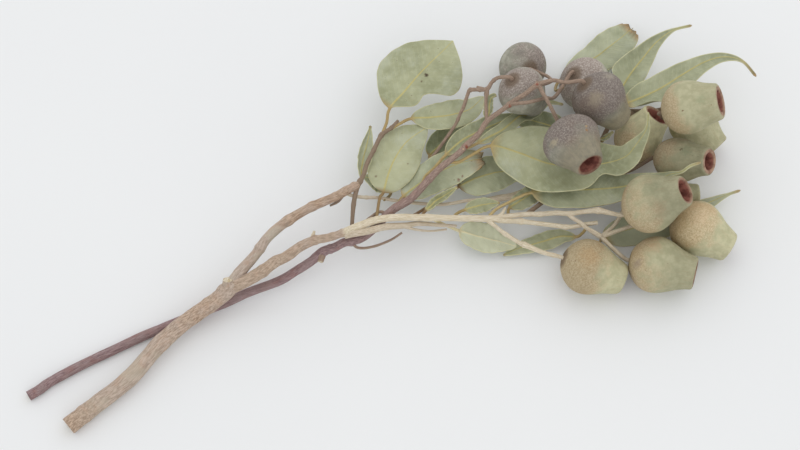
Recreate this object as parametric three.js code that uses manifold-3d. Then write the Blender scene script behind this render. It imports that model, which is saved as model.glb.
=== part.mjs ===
// A bunch of dried eucalyptus, lying on a surface: two woody branches that cross, their twigs,
// leaves on their stalks, and two kinds of gum nut, grey ones and pale green ones.
// Millimetres, +Z up. The origin is under the middle of the bunch, on the surface that it lies on.
// +X runs from the cut ends of the branches toward the nuts.

import * as THREE from 'three';
import { mergeVertices } from 'three/addons/utils/BufferGeometryUtils.js';
import Module from 'manifold-3d';

const wasm = await Module();
wasm.setup();

// ---- driving dimensions -------------------------------------------------------------------

const SEAT_GAP = 0.3;          // left between a stalk and the wood it grows from
const BLADE_THICKNESS = 0.7;
const STALK_WIDTH = 1.8;       // a leaf's stalk, across
const STALK_THICKNESS = 1.5;
const TIP_WIDTH = 0.7;
const CLEARANCE = 0.9;         // a leaf's skin to the nut or the twig that it is bent clear of
const FLOOR_CLEARANCE = 0.4;
const SIDES_THICK = 8;         // sides of a branch that is thicker than THICK_RADIUS
const SIDES_THIN = 6;
const THICK_RADIUS = 2.6;
const NUT_SIDES = 12;
const WIDEST = 0.42;           // share of a nut's length from its stalk end to its widest place
const STALK_ROWS = 3;
const BLADE_ROWS = 8;
const CURVE_SAMPLES = 240;
const DIRECTION_STEP = 0.01;   // share of a leaf's length over which its direction is taken
const BALL_STEP = 2;           // between the balls that stand for a twig where a leaf passes it
const BENDING_PASSES = 6;
const BENDING_START = 0.12;    // share of the blade over which the bending sets in
const FLOOR_SIDE = 1000;       // the block that cuts every piece off at the surface
const FLOOR_DEPTH = 100;

// One side of a nut from its stalk end to the floor of its mouth:
// [share of its length, share of its radius].
const NUT_PROFILE = [
  [0, 0], [0.01, 0.3], [0.12, 0.72], [0.27, 0.95], [0.42, 1], [0.57, 0.94], [0.72, 0.8],
  [0.86, 0.69], [0.95, 0.64], [1, 0.55], [0.97, 0.42], [0.77, 0.34], [0.76, 0],
];
const NECK_BALLS = [[0.8, 0.72], [0.93, 0.65]];   // stand for the neck where a leaf passes it

// ---- the layout ---------------------------------------------------------------------------
// A twig's route is a list of [x, y, z, radius]. A leaf's route runs from the twig that it grows
// on, along its stalk, to its tip; base says at which point the blade begins, width is half the
// blade on its left and on its right, roll turns it about its rib at the twig and at the tip,
// cup lifts its edges, wave is [height, count, phase], and shape sets how soon it widens and
// narrows. A few leaves have a shape of their own on the left, a dip [where, depth, reach] in their
// right edge, or a torn tip of a stated width. A nut's heading and pitch, in degrees, say where
// its mouth points, and neck slims its neck and mouth.

const TWIGS_A = {
  stem: [
    [-219, -29, 5, 5.2], [-209, -26, 5.1, 5.1], [-198, -23, 5.5, 5.0], [-177, -17, 6.8, 4.9],
    [-155, -6, 8.6, 4.8], [-141, -1, 9.8, 4.7], [-128, 2, 11.2, 4.6], [-116, 4, 13.5, 4.6],
    [-107, 6, 16.5, 4.8], [-101, 8, 18.8, 4.4]],
  grey_fork: [
    [-105, 7, 17, 4], [-96, 12, 20.5, 3.3], [-83, 18, 23, 3.0], [-73, 24, 25, 2.9],
    [-60, 28, 26.5, 2.9], [-44, 30, 28, 2.7], [-28, 30, 29, 2.6], [-20, 31, 29, 2.7],
    [-12, 32, 28, 2.1]],
  cut_stub: [
    [-106, 6, 16.5, 3.8], [-104, 10, 22.5, 2.9]],
  pale_fork: [
    [-106, 7, 17, 4.2], [-95, 6, 20, 3.7], [-84, 7, 21.5, 3.6], [-75, 9, 22.8, 3.3],
    [-68, 9, 23.6, 3.1], [-58, 11, 24.8, 2.9], [-49, 11, 25.6, 2.6], [-41, 9, 26.2, 2.4],
    [-32, 8, 27, 2.3], [-27, 8, 27.7, 2.3], [-18, 7, 29.6, 2.3], [-10, 6, 30.2, 2.2],
    [0, 3, 30, 2.1], [12, -2, 29, 2.0], [31, -10, 27, 1.9], [50, -18, 25, 1.9], [57, -22, 24, 1.6],
    [66, -26, 23, 1.5], [75, -31, 22, 1.4], [84, -36, 21, 1.4], [91, -40, 20.5, 1.4],
    [100, -42, 20, 1.3], [108, -44, 19.5, 1.2]],
  spike: [
    [-51, 11, 25.5, 1.6], [-47, 16, 26.5, 0.8]],
  brown_strand: [
    [-32, 6, 26.3, 1.8], [-27, 5, 27.3, 2.0], [-20, 3, 28.2, 2.1], [-15, 2, 28.6, 2.1],
    [-8, 1, 28, 2.0], [2, -2, 26.5, 1.7], [11, -4, 25, 1.4], [22, -9, 23, 1.1],
    [31, -13, 21.5, 0.8]],
  loose_strand: [
    [2, -3, 26.5, 0.9], [9, -7, 24, 0.7], [16, -10, 22, 0.6], [25, -12, 20, 0.6]],
  leaf_twig: [
    [-25, 12, 22, 1.2], [-19, 23, 25.5, 1.3], [-13, 31, 28, 1.5], [-7, 36, 29, 1.3],
    [-2, 42, 29.5, 1.3], [5, 48, 30, 1.3], [13, 55, 30, 1.4], [20, 57, 29.5, 1.2],
    [26, 60, 29, 0.9]],
  under_twig: [
    [-21, 31, 28, 1.4], [-18, 28, 26, 1.1], [-12, 25, 24, 1.0], [-3, 22, 21, 1.0],
    [5, 18, 18, 1.0], [18, 11, 16, 1.0], [31, 5, 15, 1.0], [46, 2, 13, 1.0], [54, -1, 11, 1.8],
    [63, -3, 10.5, 2.0], [72, -5, 10.5, 2.0], [81, -5, 10.5, 1.4]],
  side_shoot: [
    [-22, 30, 28, 1.1], [-27, 28, 25.5, 0.9], [-32, 28, 24, 0.6]],
  fruit_twig: [
    [46, -16, 25.3, 1.5], [58, -20, 25, 1.5], [71, -24, 24.5, 1.5], [78, -27, 24.3, 1.5],
    [87, -30, 24, 1.5], [95, -34, 24, 1.5], [102, -36, 24.3, 1.4], [110, -39, 25, 1.8],
    [116, -44, 26, 1.4], [121.9, -47.9, 25.7, 1.2], [125, -48.8, 28.3, 1.2]],
  low_twig: [
    [93, -33, 24, 1.3], [95, -37, 23.5, 1.2], [98, -41, 22.5, 1.2], [100, -45, 21.5, 1.2],
    [106, -53, 19.5, 1.7]],
  to_p4b: [
    [106, -53, 19.5, 1.3], [118, -48, 16, 1.2], [131, -39, 14, 1.2], [140.5, -37.5, 9.9, 1.2],
    [144.4, -38.8, 10.1, 1.2]],
  to_p5: [
    [106, -53, 19.5, 1.3], [120, -53, 17.5, 1.2], [134, -54, 17, 1.2], [150, -56.1, 19.7, 1.2],
    [152.4, -59.3, 18.8, 1.2]],
  to_p6: [
    [106, -53, 19.5, 1.5], [108, -58, 18, 1.3], [110, -62, 16.5, 1.3], [114.2, -69.3, 13.6, 1.2],
    [117.3, -71.9, 14.1, 1.2]],
  to_p7: [
    [47, -16, 25.3, 1.4], [51, -23, 24.2, 1.2], [54, -29, 23.5, 1.2], [60, -38, 22.5, 1.3],
    [62, -40, 22.3, 1.7], [70, -49, 22.5, 1.3], [77.7, -54.2, 20.3, 1.2], [80.8, -56.8, 19.3, 1.2]],
  broken_tip: [
    [55, -19, 25, 1.2], [58, -18, 26, 1.0], [61, -16, 26.5, 0.7]],
  hidden_twig: [
    [71, -24, 24.5, 1.4], [86, -18, 17, 1.3], [106, -12, 14, 1.3], [124, -4, 13, 1.3],
    [136, 5, 14, 1.4], [146, 12, 18, 1.4], [154, 13, 24, 1.5]],
  to_p3: [
    [125, -3, 13, 1.3], [136, -3, 6, 1.2], [145.5, -6.7, 1.2, 1.2], [148.1, -5.9, 4.2, 1.2]],
  to_p2: [
    [108, -11, 14, 1.3], [124, -17, 13, 1.2], [141, -20, 14, 1.2], [157.2, -19.6, 18.2, 1.2],
    [159.6, -22.1, 20.5, 1.2]],
  to_p1: [
    [154, 13, 24, 1.4], [165, 6, 17, 1.3], [173, 0, 22, 1.3], [172, -4, 33, 1.2],
    [165.4, -4.1, 42.2, 1.2], [168.8, -5.6, 44.1, 1.2]],
  to_p1b: [
    [154, 13, 24, 1.4], [165, 12, 16, 1.3], [178, 9, 13, 1.2], [185.6, 7.8, 17.5, 1.2],
    [186.9, 4, 16.6, 1.2]],
};

const TWIGS_B = {
  stem: [
    [-234, -2, 2.7, 2.9], [-227, -1, 2.7, 2.9], [-219, 1, 2.7, 2.85], [-200, 3, 2.7, 2.8],
    [-181, 4, 2.8, 2.8], [-162, 5, 2.9, 2.75], [-148, 5, 3, 2.7], [-131, 5, 3.1, 2.7],
    [-109, 4, 4.2, 2.7], [-95, 4, 6, 2.7], [-76, 2, 9.5, 2.7], [-64, 3, 12, 2.7],
    [-55, 4, 14, 2.7], [-46, 6, 16, 2.9], [-39, 5, 18, 2.6], [-33, 5, 19.5, 2.6],
    [-26, 3, 20.8, 2.5], [-20, 3, 22, 2.5], [-13, 5, 23.4, 2.5], [-5, 8, 25.5, 2.5],
    [2, 10, 27, 2.5], [12, 11, 28.5, 2.4], [24, 16, 30, 2.2], [31, 19, 31, 2.1], [37, 21, 32, 2.0],
    [49, 24, 34, 1.8], [54, 26, 35, 1.9], [64, 29, 38, 1.6], [71, 33, 41, 1.6],
    [80, 34, 45.5, 1.4], [86, 34, 50, 1.6], [91, 34, 53.5, 1.4], [96, 34, 56, 1.4],
    [100, 35, 57, 1.4], [105, 36, 57, 1.8]],
  knob: [
    [-48, 4, 15.8, 2.5], [-50, 1, 15.6, 1.7]],
  curved_twig: [
    [-29, 4, 20.3, 1.1], [-27, -1, 19, 0.8], [-19, -4, 19, 0.8], [-8, -5, 20.5, 0.7],
    [0, -4, 22, 0.6]],
  knobby_twig: [
    [-4, 8, 25.8, 1.2], [-7, 12, 25.5, 0.9], [-14, 11, 25, 0.9], [-17, 10, 25, 1.0]],
  pair_twig: [
    [2, 10, 27, 1.2], [15, 20, 17, 1.0], [26, 28, 15.5, 1.0], [37, 34, 19, 1.0], [48, 39, 26, 1.0],
    [56, 43, 32, 1.0], [60, 46, 36.5, 1.0], [63, 48, 39, 1.1], [68, 53, 43.5, 1.1],
    [70, 54, 45, 1.3], [74, 52, 46, 1.1], [79, 50, 46.5, 1.4], [83, 52, 48.5, 1.1],
    [87, 52, 51, 1.1], [93, 49.1, 51.8, 1.2], [94.7, 47.6, 48.4, 1.2]],
  short_twig: [
    [71, 33, 41, 1.1], [73, 38, 42.5, 1.0], [76, 45, 43.5, 1.0], [79, 50, 46.5, 1.3]],
  dry_stub: [
    [77, 51, 46, 1.1], [74, 54, 46, 0.7]],
  to_g3: [
    [86, 34, 50, 1.3], [90, 31, 53.5, 1.1], [96, 29, 53.8, 1.1], [107, 30, 48, 1.1],
    [117, 34, 35, 1.1], [133.4, 45.6, 31.4, 1.2], [135.7, 44.6, 28.1, 1.2]],
  to_g4: [
    [105, 36, 57, 1.6], [114, 35, 56.5, 1.2], [120, 31, 56, 1.1], [129, 28.3, 55.9, 1.2],
    [130.9, 25.8, 53.2, 1.2]],
  to_g5: [
    [105, 36, 57, 1.6], [105, 31, 56, 1.2], [106, 23, 53.5, 1.1], [107.9, 13.2, 46.2, 1.2],
    [108.1, 9.2, 47.2, 1.2]],
  to_g1: [
    [105, 36, 57, 1.6], [113, 37, 51, 1.1], [118, 43, 40, 1.0], [118, 49, 34.5, 1.0],
    [112.9, 57.4, 31.1, 1.2], [112.7, 59.9, 27.9, 1.2]],
};

const NUTS = {
  nut_grey_1: {middle: [112.1, 66.6, 19.2], radius: 15, length: 30, heading: 95, pitch: -52, neck: 0.8},
  nut_grey_2: {middle: [99.5, 43.5, 38.9], radius: 14.5, length: 31, heading: -41, pitch: -56, neck: 0.8},
  nut_grey_3: {middle: [142.4, 41.6, 18.3], radius: 16, length: 33, heading: -24, pitch: -53, neck: 0.9},
  nut_grey_4: {middle: [136.9, 18, 44.5], radius: 16.3, length: 35, heading: -52, pitch: -41, neck: 0.85},
  nut_grey_5: {middle: [108.8, -3, 50.5], radius: 17.4, length: 34, heading: -87, pitch: 15, neck: 0.82},
  nut_pale_1: {middle: [179.4, -10.3, 50], radius: 15.5, length: 35, heading: -24, pitch: 27, neck: 1.08},
  nut_pale_2: {middle: [191.3, -8, 13.7], radius: 14.4, length: 35, heading: -70, pitch: -13, neck: 0.95},
  nut_pale_3: {middle: [167.3, -30.2, 28], radius: 13.4, length: 36, heading: -46, pitch: 34, neck: 0.95},
  nut_pale_4: {middle: [156.4, -3.3, 13.5], radius: 14.2, length: 34, heading: 18, pitch: 47, neck: 1},
  nut_pale_5: {middle: [136.2, -52.1, 38], radius: 17, length: 40, heading: -17, pitch: 40, neck: 0.85},
  nut_pale_6: {middle: [156, -42.8, 10.8], radius: 9.5, length: 33, heading: -19, pitch: 3, neck: 0.9},
  nut_pale_7: {middle: [161, -70.5, 15.8], radius: 16.6, length: 38, heading: -52, pitch: -12, neck: 0.88},
  nut_pale_8: {middle: [128.6, -81.2, 16], radius: 16.8, length: 39, heading: -40, pitch: 7, neck: 0.9},
  nut_pale_9: {middle: [91.5, -65.7, 15.9], radius: 16.1, length: 38, heading: -40, pitch: -14, neck: 0.92},
};

const LEAVES = {
  leaf_01: {
    route: [
      [14, 56, 30], [19, 61, 31], [24, 68, 32], [36, 74, 33], [50, 81, 34.5], [64, 87, 35],
      [77, 93, 34]],
    base: 2, width: [24.5, 24.5], roll: [0, 0], cup: -0.1, wave: [1.0, 1.5, 0], shape: [1.3, 1.0],
    leftShape: [0.65, 0.9],
    dip: [0.34, 0.45, 0.12]},
  leaf_02: {
    route: [
      [-12, 32, 28], [-9, 35, 26.5], [-6, 42, 25], [0, 51, 24.5], [6, 59, 25], [10, 65, 26]],
    base: 1, width: [4.5, 4.5], roll: [35, 20], cup: 0.6, wave: [0.5, 1.5, 0], shape: [0.6, 0.9]},
  leaf_03: {
    route: [
      [-12, 6, 29.8], [-8, 13, 27], [-3, 21, 24.5], [0, 23, 24], [7, 32, 24], [15, 40, 24.5],
      [26, 47, 25], [41, 51, 24.5]],
    base: 3, width: [14.5, 15], roll: [0, 8], cup: -0.08, wave: [0.8, 2, 1], shape: [0.55, 0.75]},
  leaf_04: {
    route: [
      [17, 56, 30], [26, 58, 28.5], [34, 59, 27], [46, 55, 26], [58, 52, 25.5], [69, 51, 25.5],
      [80, 55, 26]],
    base: 2, width: [9, 9], roll: [5, 10], cup: 0.1, wave: [0.8, 2, 0], shape: [0.6, 0.7]},
  leaf_05: {
    route: [
      [37, 35, 19], [36, 35, 16], [37, 38, 13], [43, 41, 12], [51, 44, 12], [60, 44, 12.5],
      [70, 45, 13.5]],
    base: 2, width: [8.5, 9], roll: [0, 0], cup: 0.05, wave: [0.5, 2, 2], shape: [0.5, 0.8]},
  leaf_06: {
    route: [
      [-1, 20, 20.3], [3, 22, 17], [6, 26, 13.5], [4, 32, 11.5], [0, 38, 11], [-5, 43, 11]],
    base: 2, width: [6, 6], roll: [0, 0], cup: 0.1, wave: [0.5, 2, 0], shape: [0.6, 0.9]},
  leaf_07: {
    route: [
      [0, 9, 26.5], [5, 13, 23], [10, 17, 21], [24, 21, 20.5], [40, 23, 21], [54, 22, 21.5],
      [65, 19, 22]],
    base: 2, width: [11, 11.5], roll: [0, 0], cup: -0.06, wave: [1, 2, 0.5], shape: [0.5, 0.5],
    tip: 9},
  leaf_08: {
    route: [
      [21, 15, 29.5], [26, 21, 27], [33, 24, 26.5], [43, 29, 26.5], [57, 34, 26.5], [72, 35, 26.5],
      [87, 37, 22.3], [98, 36, 20]],
    base: 3, width: [7, 5.5], roll: [10, 0], cup: 0.2, wave: [0.8, 2, 0], shape: [0.55, 0.75]},
  leaf_09: {
    route: [
      [41, 22, 32.3], [47, 20, 31.5], [56, 21, 31], [69, 22, 30.5], [83, 11, 29.5], [95, -1, 28.5],
      [109, -9, 28], [125, -15, 29], [138, -17, 31], [146, -14, 34], [155, -9, 39], [160, -1, 43]],
    base: 3, width: [22, 18.5], roll: [1, 0], cup: 0.08, wave: [1.2, 3, 2.4], shape: [0.5, 1.25],
    leftShape: [0.8, 1.8],
    dip: [0.6, 0.5, 0.055]},
  leaf_10: {
    route: [
      [49, -17, 25], [56, -14, 25], [64, -13, 24.5], [72, -12, 23.5], [80, -12, 22.5],
      [96, -17, 21.5], [113, -24, 21], [130, -30, 21.5], [143, -34, 26], [151, -38, 32],
      [155, -41, 40], [159, -44, 46], [164, -44, 50], [170, -45, 51.5]],
    base: 4, width: [11.5, 12], roll: [0, 0], cup: 0.05, wave: [0.8, 3, 0], shape: [0.5, 1.7]},
  leaf_11: {
    route: [
      [6, 0, 29.5], [19, 5, 20.5], [31, 9, 17], [44, 12, 14], [56, 13, 13.5], [70, 11, 13.5],
      [79, 7, 13], [85, 0, 12.5]],
    base: 3, width: [12, 12.5], roll: [0, 0], cup: 0.05, wave: [0.8, 2, 0], shape: [0.5, 0.8]},
  leaf_12: {
    route: [
      [18, -5, 28.5], [25, -8, 19], [33, -13, 12], [40, -18, 9], [47, -23, 7.5], [54, -28, 6.5],
      [61, -34, 6]],
    base: 2, width: [9.5, 9], roll: [0, 0], cup: 0.05, wave: [0.8, 2, 1], shape: [0.5, 0.7]},
  leaf_13: {
    route: [
      [100, -45, 21.6], [98, -45, 15], [95, -44, 10], [87, -39, 6.5], [75, -37, 5], [63, -35, 4],
      [52, -35, 3.5]],
    base: 2, width: [6, 5.5], roll: [0, 0], cup: 0.1, wave: [0.8, 2, 0], shape: [0.6, 0.8]},
  leaf_14: {
    route: [
      [30, -9, 27], [35, -6, 22], [40, -5, 19.5], [51, -6, 18.5], [61, -9, 18.5]],
    base: 2, width: [4.5, 5], roll: [10, 0], cup: 0.2, wave: [0.5, 2, 0], shape: [0.6, 0.8]},
  leaf_15: {
    route: [
      [58, -22, 24], [62, -18, 20], [65, -14, 17.5], [74, -12, 16.5], [84, -10, 16], [95, -10, 16]],
    base: 2, width: [5.5, 6.5], roll: [0, 0], cup: 0.1, wave: [0.5, 2, 0], shape: [0.6, 0.8]},
  leaf_16: {
    route: [
      [124, 38, 33.3], [123, 43, 21], [130, 53, 6], [137, 57, 3], [149, 59, 4], [162, 60, 7],
      [176, 63, 10], [190, 67, 11]],
    base: 3, width: [11, 12], roll: [0, 0], cup: -0.05, wave: [0.8, 2, 0], shape: [0.6, 0.4],
    tip: 7},
  leaf_17: {
    route: [
      [148, 13, 18.5], [148, 18, 19], [153, 23, 19], [168, 34, 20], [181, 41, 22], [192, 46, 25],
      [204, 48, 28], [216, 46, 29]],
    base: 2, width: [11.5, 9.5], roll: [0, 30], cup: 0.15, wave: [0.6, 2, 0], shape: [0.5, 1.8]},
  leaf_18: {
    route: [
      [151, 13, 22], [153, 15, 23.5], [156, 16, 25], [169, 16, 25.5], [183, 17, 26],
      [196, 19, 27.5], [210, 20, 30], [222, 18, 31.5], [231, 11, 32], [235, -1, 29.5]],
    base: 2, width: [9, 11], roll: [-5, 20], cup: 0.2, wave: [1.0, 3, 0], shape: [0.5, 1.7]},
  leaf_19: {
    route: [
      [107, -54, 19], [107, -52, 9], [112, -49, 2.6], [123, -49, 1.7], [135, -51, 1.6],
      [151, -54, 1.5], [167, -54, 2], [178, -55, 5], [188, -56, 9], [197, -58, 13]],
    base: 2, width: [8.5, 11], roll: [0, 20], cup: 0.02, wave: [0.3, 2, 0], shape: [0.45, 1.3]},
  leaf_20: {
    route: [
      [71, 33, 40], [73, 36, 37], [77, 41, 34.5], [79, 45, 34.5], [82, 48, 36], [86, 47, 38]],
    base: 1, width: [3.2, 3.2], roll: [-30, -20], cup: 0.8, wave: [0.3, 2, 0], shape: [0.5, 0.8]},
  leaf_21: {
    route: [
      [54, 25, 34.5], [58, 26, 31.5], [63, 27, 30], [71, 28, 29.5], [80, 29, 29.5], [93, 34, 26.3],
      [105, 38, 22.2], [116, 39, 18.5], [124, 34, 18]],
    base: 2, width: [4.5, 4.5], roll: [15, 0], cup: 0.1, wave: [0.5, 2, 0], shape: [0.5, 0.8]},
  leaf_22: {
    route: [
      [131, 1, 13.5], [129, 8, 10], [125, 14, 9], [117, 23, 9.5], [109, 31, 10], [100, 38, 10],
      [91, 44, 10]],
    base: 2, width: [9, 8.5], roll: [0, 0], cup: 0.05, wave: [0.6, 2, 0], shape: [0.6, 0.9]},
  leaf_23: {
    route: [
      [136, 4, 14], [135, 4, 17.5], [136, 3, 20], [138, 3, 21.5], [142, 4, 22]],
    base: 1, width: [1.8, 1.8], roll: [0, 0], cup: 0.1, wave: [0, 1, 0], shape: [0.5, 0.9]},
  leaf_24: {
    route: [
      [13, -2, 29], [17, 1, 27], [21, 3, 25], [26, 6, 22], [34, 8, 20.5], [42, 10, 20]],
    base: 1, width: [2.8, 2.8], roll: [0, 0], cup: 0.3, wave: [0.3, 2, 0], shape: [0.5, 0.6]},
};
// ---- curves and solids ----------------------------------------------------------------------

const UP = new THREE.Vector3(0, 0, 1);
const radians = THREE.MathUtils.degToRad;

function curveThrough(route) {
  const points = route.map(([x, y, z]) => new THREE.Vector3(x, y, z));
  return new THREE.CatmullRomCurve3(points, false, 'catmullrom', 0.5);
}

// The value at t, 0 to 1 along the route, between the values given at its points.
function valueAlong(values, t) {
  const last = values.length - 1;
  const k = Math.min(Math.floor(t * last), last - 1);
  const part = t * last - k;
  return THREE.MathUtils.lerp(values[k], values[k + 1], part);
}

function toGeometry(positions, triangles) {
  const geometry = new THREE.BufferGeometry();
  geometry.setAttribute('position', new THREE.Float32BufferAttribute(positions, 3));
  geometry.setIndex(triangles);
  return geometry;
}

function toSolid(geometry) {
  const bare = geometry.clone();
  bare.deleteAttribute('normal');
  bare.deleteAttribute('uv');
  const merged = mergeVertices(bare, 1e-4);
  return new wasm.Manifold(new wasm.Mesh({
    numProp: 3,
    vertProperties: new Float32Array(merged.attributes.position.array),
    triVerts: new Uint32Array(merged.index.array),
  }));
}

function fromSolid(solid) {
  const mesh = solid.getMesh();
  return toGeometry(Array.from(mesh.vertProperties), Array.from(mesh.triVerts));
}

function largestBody(solid) {
  const bodies = solid.decompose();
  return bodies.reduce((best, body) => (body.volume() > best.volume() ? body : best));
}

// Closes a row of rings, each with as many points as the next, with a flat fan on each end.
function skin(rings) {
  const count = rings[0].length;
  const positions = [];
  const triangles = [];
  rings.forEach((ring) => ring.forEach((p) => positions.push(p.x, p.y, p.z)));
  for (let row = 0; row < rings.length - 1; row += 1) {
    for (let k = 0; k < count; k += 1) {
      const a = row * count + k;
      const b = row * count + ((k + 1) % count);
      triangles.push(a, b, a + count, b, b + count, a + count);
    }
  }
  const end = (rings.length - 1) * count;
  for (let k = 1; k < count - 1; k += 1) {
    triangles.push(0, k + 1, k);
    triangles.push(end, end + k, end + k + 1);
  }
  return toGeometry(positions, triangles);
}

// A round twig along its route; grow thickens and lengthens it, to cut a seat in what it holds.
function twigSolid(route, grow = 0) {
  const curve = curveThrough(route);
  const radii = route.map((point) => point[3]);
  const sides = Math.max(...radii) > THICK_RADIUS ? SIDES_THICK : SIDES_THIN;
  const steps = Math.max(3, route.length - 1);
  const rings = [];
  let side = null;
  for (let i = 0; i <= steps; i += 1) {
    const t = i / steps;
    const along = curve.getTangent(t);
    const centre = curve.getPoint(t);
    if (i === 0) centre.addScaledVector(along, -grow);
    if (i === steps) centre.addScaledVector(along, grow);
    side = side ?? new THREE.Vector3().crossVectors(UP, along);
    side = side.clone().addScaledVector(along, -side.dot(along)).normalize();
    const other = new THREE.Vector3().crossVectors(along, side);
    const radius = valueAlong(radii, t) + grow;
    const ring = [];
    for (let k = 0; k < sides; k += 1) {
      const turn = (2 * Math.PI * k) / sides;
      ring.push(centre.clone()
        .addScaledVector(side, radius * Math.cos(turn))
        .addScaledVector(other, radius * Math.sin(turn)));
    }
    rings.push(ring);
  }
  return toSolid(skin(rings));
}

function branchSolid(twigs, grow = 0) {
  return Object.values(twigs).map((route) => twigSolid(route, grow)).reduce((a, b) => a.add(b));
}

// Everything below the surface that the bunch lies on is cut off flat.
const BELOW = toSolid(
  new THREE.BoxGeometry(FLOOR_SIDE, FLOOR_SIDE, FLOOR_DEPTH).translate(0, 0, -FLOOR_DEPTH / 2));

// ---- nuts ---------------------------------------------------------------------------------

function nutAxis(nut) {
  const [x, y, z] = nut.middle;
  const turn = radians(nut.heading);
  const rise = radians(nut.pitch);
  const along = new THREE.Vector3(
    Math.cos(rise) * Math.cos(turn), Math.cos(rise) * Math.sin(turn), Math.sin(rise));
  const base = new THREE.Vector3(x, y, z).addScaledVector(along, -WIDEST * nut.length);
  return { along, base };
}

// A nut's radius at the share f of its length, where its profile has the share r of the radius.
function nutRadius(nut, f, r) {
  const pastWidest = THREE.MathUtils.clamp((f - WIDEST) / (1 - WIDEST), 0, 1);
  return r * nut.radius * THREE.MathUtils.lerp(1, nut.neck, pastWidest);
}

function nutSolid(nut) {
  const { along, base } = nutAxis(nut);
  const profile = NUT_PROFILE.map(
    ([f, r]) => new THREE.Vector2(nutRadius(nut, f, r), f * nut.length));
  const lathe = new THREE.LatheGeometry(profile, NUT_SIDES);
  const turn = new THREE.Quaternion().setFromUnitVectors(new THREE.Vector3(0, 1, 0), along);
  return toSolid(lathe.applyQuaternion(turn).translate(base.x, base.y, base.z));
}

// ---- leaves -------------------------------------------------------------------------------

// Balls that stand for every nut and every twig; a blade is bent out of them.
function obstacles() {
  const balls = [];
  for (const nut of Object.values(NUTS)) {
    const { along, base } = nutAxis(nut);
    balls.push([new THREE.Vector3(...nut.middle), nut.radius]);
    for (const [f, r] of NECK_BALLS) {
      balls.push([base.clone().addScaledVector(along, f * nut.length), nutRadius(nut, f, r)]);
    }
  }
  for (const route of [...Object.values(TWIGS_A), ...Object.values(TWIGS_B)]) {
    const curve = curveThrough(route);
    const radii = route.map((point) => point[3]);
    const steps = Math.ceil(curve.getLength() / BALL_STEP);
    for (let i = 0; i <= steps; i += 1) {
      balls.push([curve.getPoint(i / steps), valueAlong(radii, i / steps)]);
    }
  }
  return balls;
}

const OBSTACLES = obstacles();

// How far a point has to move to stand clear of the nuts, the twigs and the floor.
function bentClear(point) {
  const moved = point.clone();
  const lowest = FLOOR_CLEARANCE + BLADE_THICKNESS / 2;
  for (let pass = 0; pass < BENDING_PASSES; pass += 1) {
    for (const [centre, radius] of OBSTACLES) {
      const reach = radius + CLEARANCE + BLADE_THICKNESS / 2;
      const away = moved.clone().sub(centre);
      const distance = away.length();
      if (distance < reach) moved.addScaledVector(away, (reach - distance) / distance);
    }
    moved.z = Math.max(moved.z, lowest);
  }
  return moved;
}

const ACROSS = [-1, -0.5, 0, 0.5, 1];

// The blade's width on one side at the share u of its length, as a share of the most.
function fullnessAt(leaf, u, isLeft) {
  const [p, q] = (isLeft && leaf.leftShape) || leaf.shape;
  const peak = (p / (p + q)) ** p * (q / (p + q)) ** q;
  const [where, depth, reach] = (!isLeft && leaf.dip) || [0, 0, 1];
  const dip = depth * Math.exp(-(((u - where) / reach) ** 2));
  return (u ** p * (1 - u) ** q / peak) * (1 - dip);
}

// Half the least width that a leaf has at the share u of its blade.
function leastWidth(leaf, u) {
  const tip = leaf.tip ?? TIP_WIDTH;
  if (u === 1) return tip / 2;
  return Math.max(STALK_WIDTH, u > 0.5 ? tip : 0) / 2;
}

function leafSolid(leaf) {
  const curve = curveThrough(leaf.route);
  const samples = curve.getPoints(CURVE_SAMPLES);
  const lengths = [0];
  samples.forEach((p, i) => i && lengths.push(lengths[i - 1] + p.distanceTo(samples[i - 1])));
  const total = lengths[CURVE_SAMPLES];
  const baseIndex = Math.round((CURVE_SAMPLES * leaf.base) / (leaf.route.length - 1));
  const stalkShare = lengths[baseIndex] / total;
  const at = (s) => {
    let k = lengths.findIndex((l) => l >= s * total);
    k = Math.min(Math.max(k, 1), CURVE_SAMPLES);
    const part = (s * total - lengths[k - 1]) / (lengths[k] - lengths[k - 1]);
    return samples[k - 1].clone().lerp(samples[k], part);
  };
  const rings = [];
  for (let row = 0; row <= STALK_ROWS + BLADE_ROWS; row += 1) {
    const onStalk = row <= STALK_ROWS;
    const u = onStalk ? 0 : (row - STALK_ROWS) / BLADE_ROWS;
    const s = onStalk ? (stalkShare * row) / STALK_ROWS : stalkShare + (1 - stalkShare) * u;
    const middle = at(s);
    const along = at(Math.min(1, s + DIRECTION_STEP))
      .sub(at(Math.max(0, s - DIRECTION_STEP))).normalize();
    const flatSide = new THREE.Vector3().crossVectors(UP, along).normalize();
    const flatUp = new THREE.Vector3().crossVectors(along, flatSide);
    const roll = radians(THREE.MathUtils.lerp(leaf.roll[0], leaf.roll[1], s));
    const side = flatSide.clone().multiplyScalar(Math.cos(roll))
      .addScaledVector(flatUp, Math.sin(roll));
    const up = flatUp.clone().multiplyScalar(Math.cos(roll))
      .addScaledVector(flatSide, -Math.sin(roll));
    const half = (row < STALK_ROWS ? STALK_THICKNESS : BLADE_THICKNESS) / 2;
    const [amount, count, phase] = leaf.wave;
    const ripple = amount * Math.sin(2 * Math.PI * count * u + phase);
    const clearShare = THREE.MathUtils.clamp(u / BENDING_START, 0, 1);
    const upper = [];
    const lower = [];
    for (const v of ACROSS) {
      const fullness = onStalk ? 0 : fullnessAt(leaf, u, v > 0);
      const width = Math.max(leastWidth(leaf, u), fullness * leaf.width[v > 0 ? 0 : 1]);
      const lift = onStalk ? 0 : v * v * (leaf.cup * width + ripple * fullness * Math.sign(v || 1));
      const point = middle.clone().addScaledVector(side, v * width).addScaledVector(up, lift);
      point.lerp(bentClear(point), clearShare);
      upper.push(point.clone().addScaledVector(up, half));
      lower.push(point.clone().addScaledVector(up, -half));
    }
    rings.push([...upper, ...lower.reverse()]);
  }
  return toSolid(leafSkin(rings));
}

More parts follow.
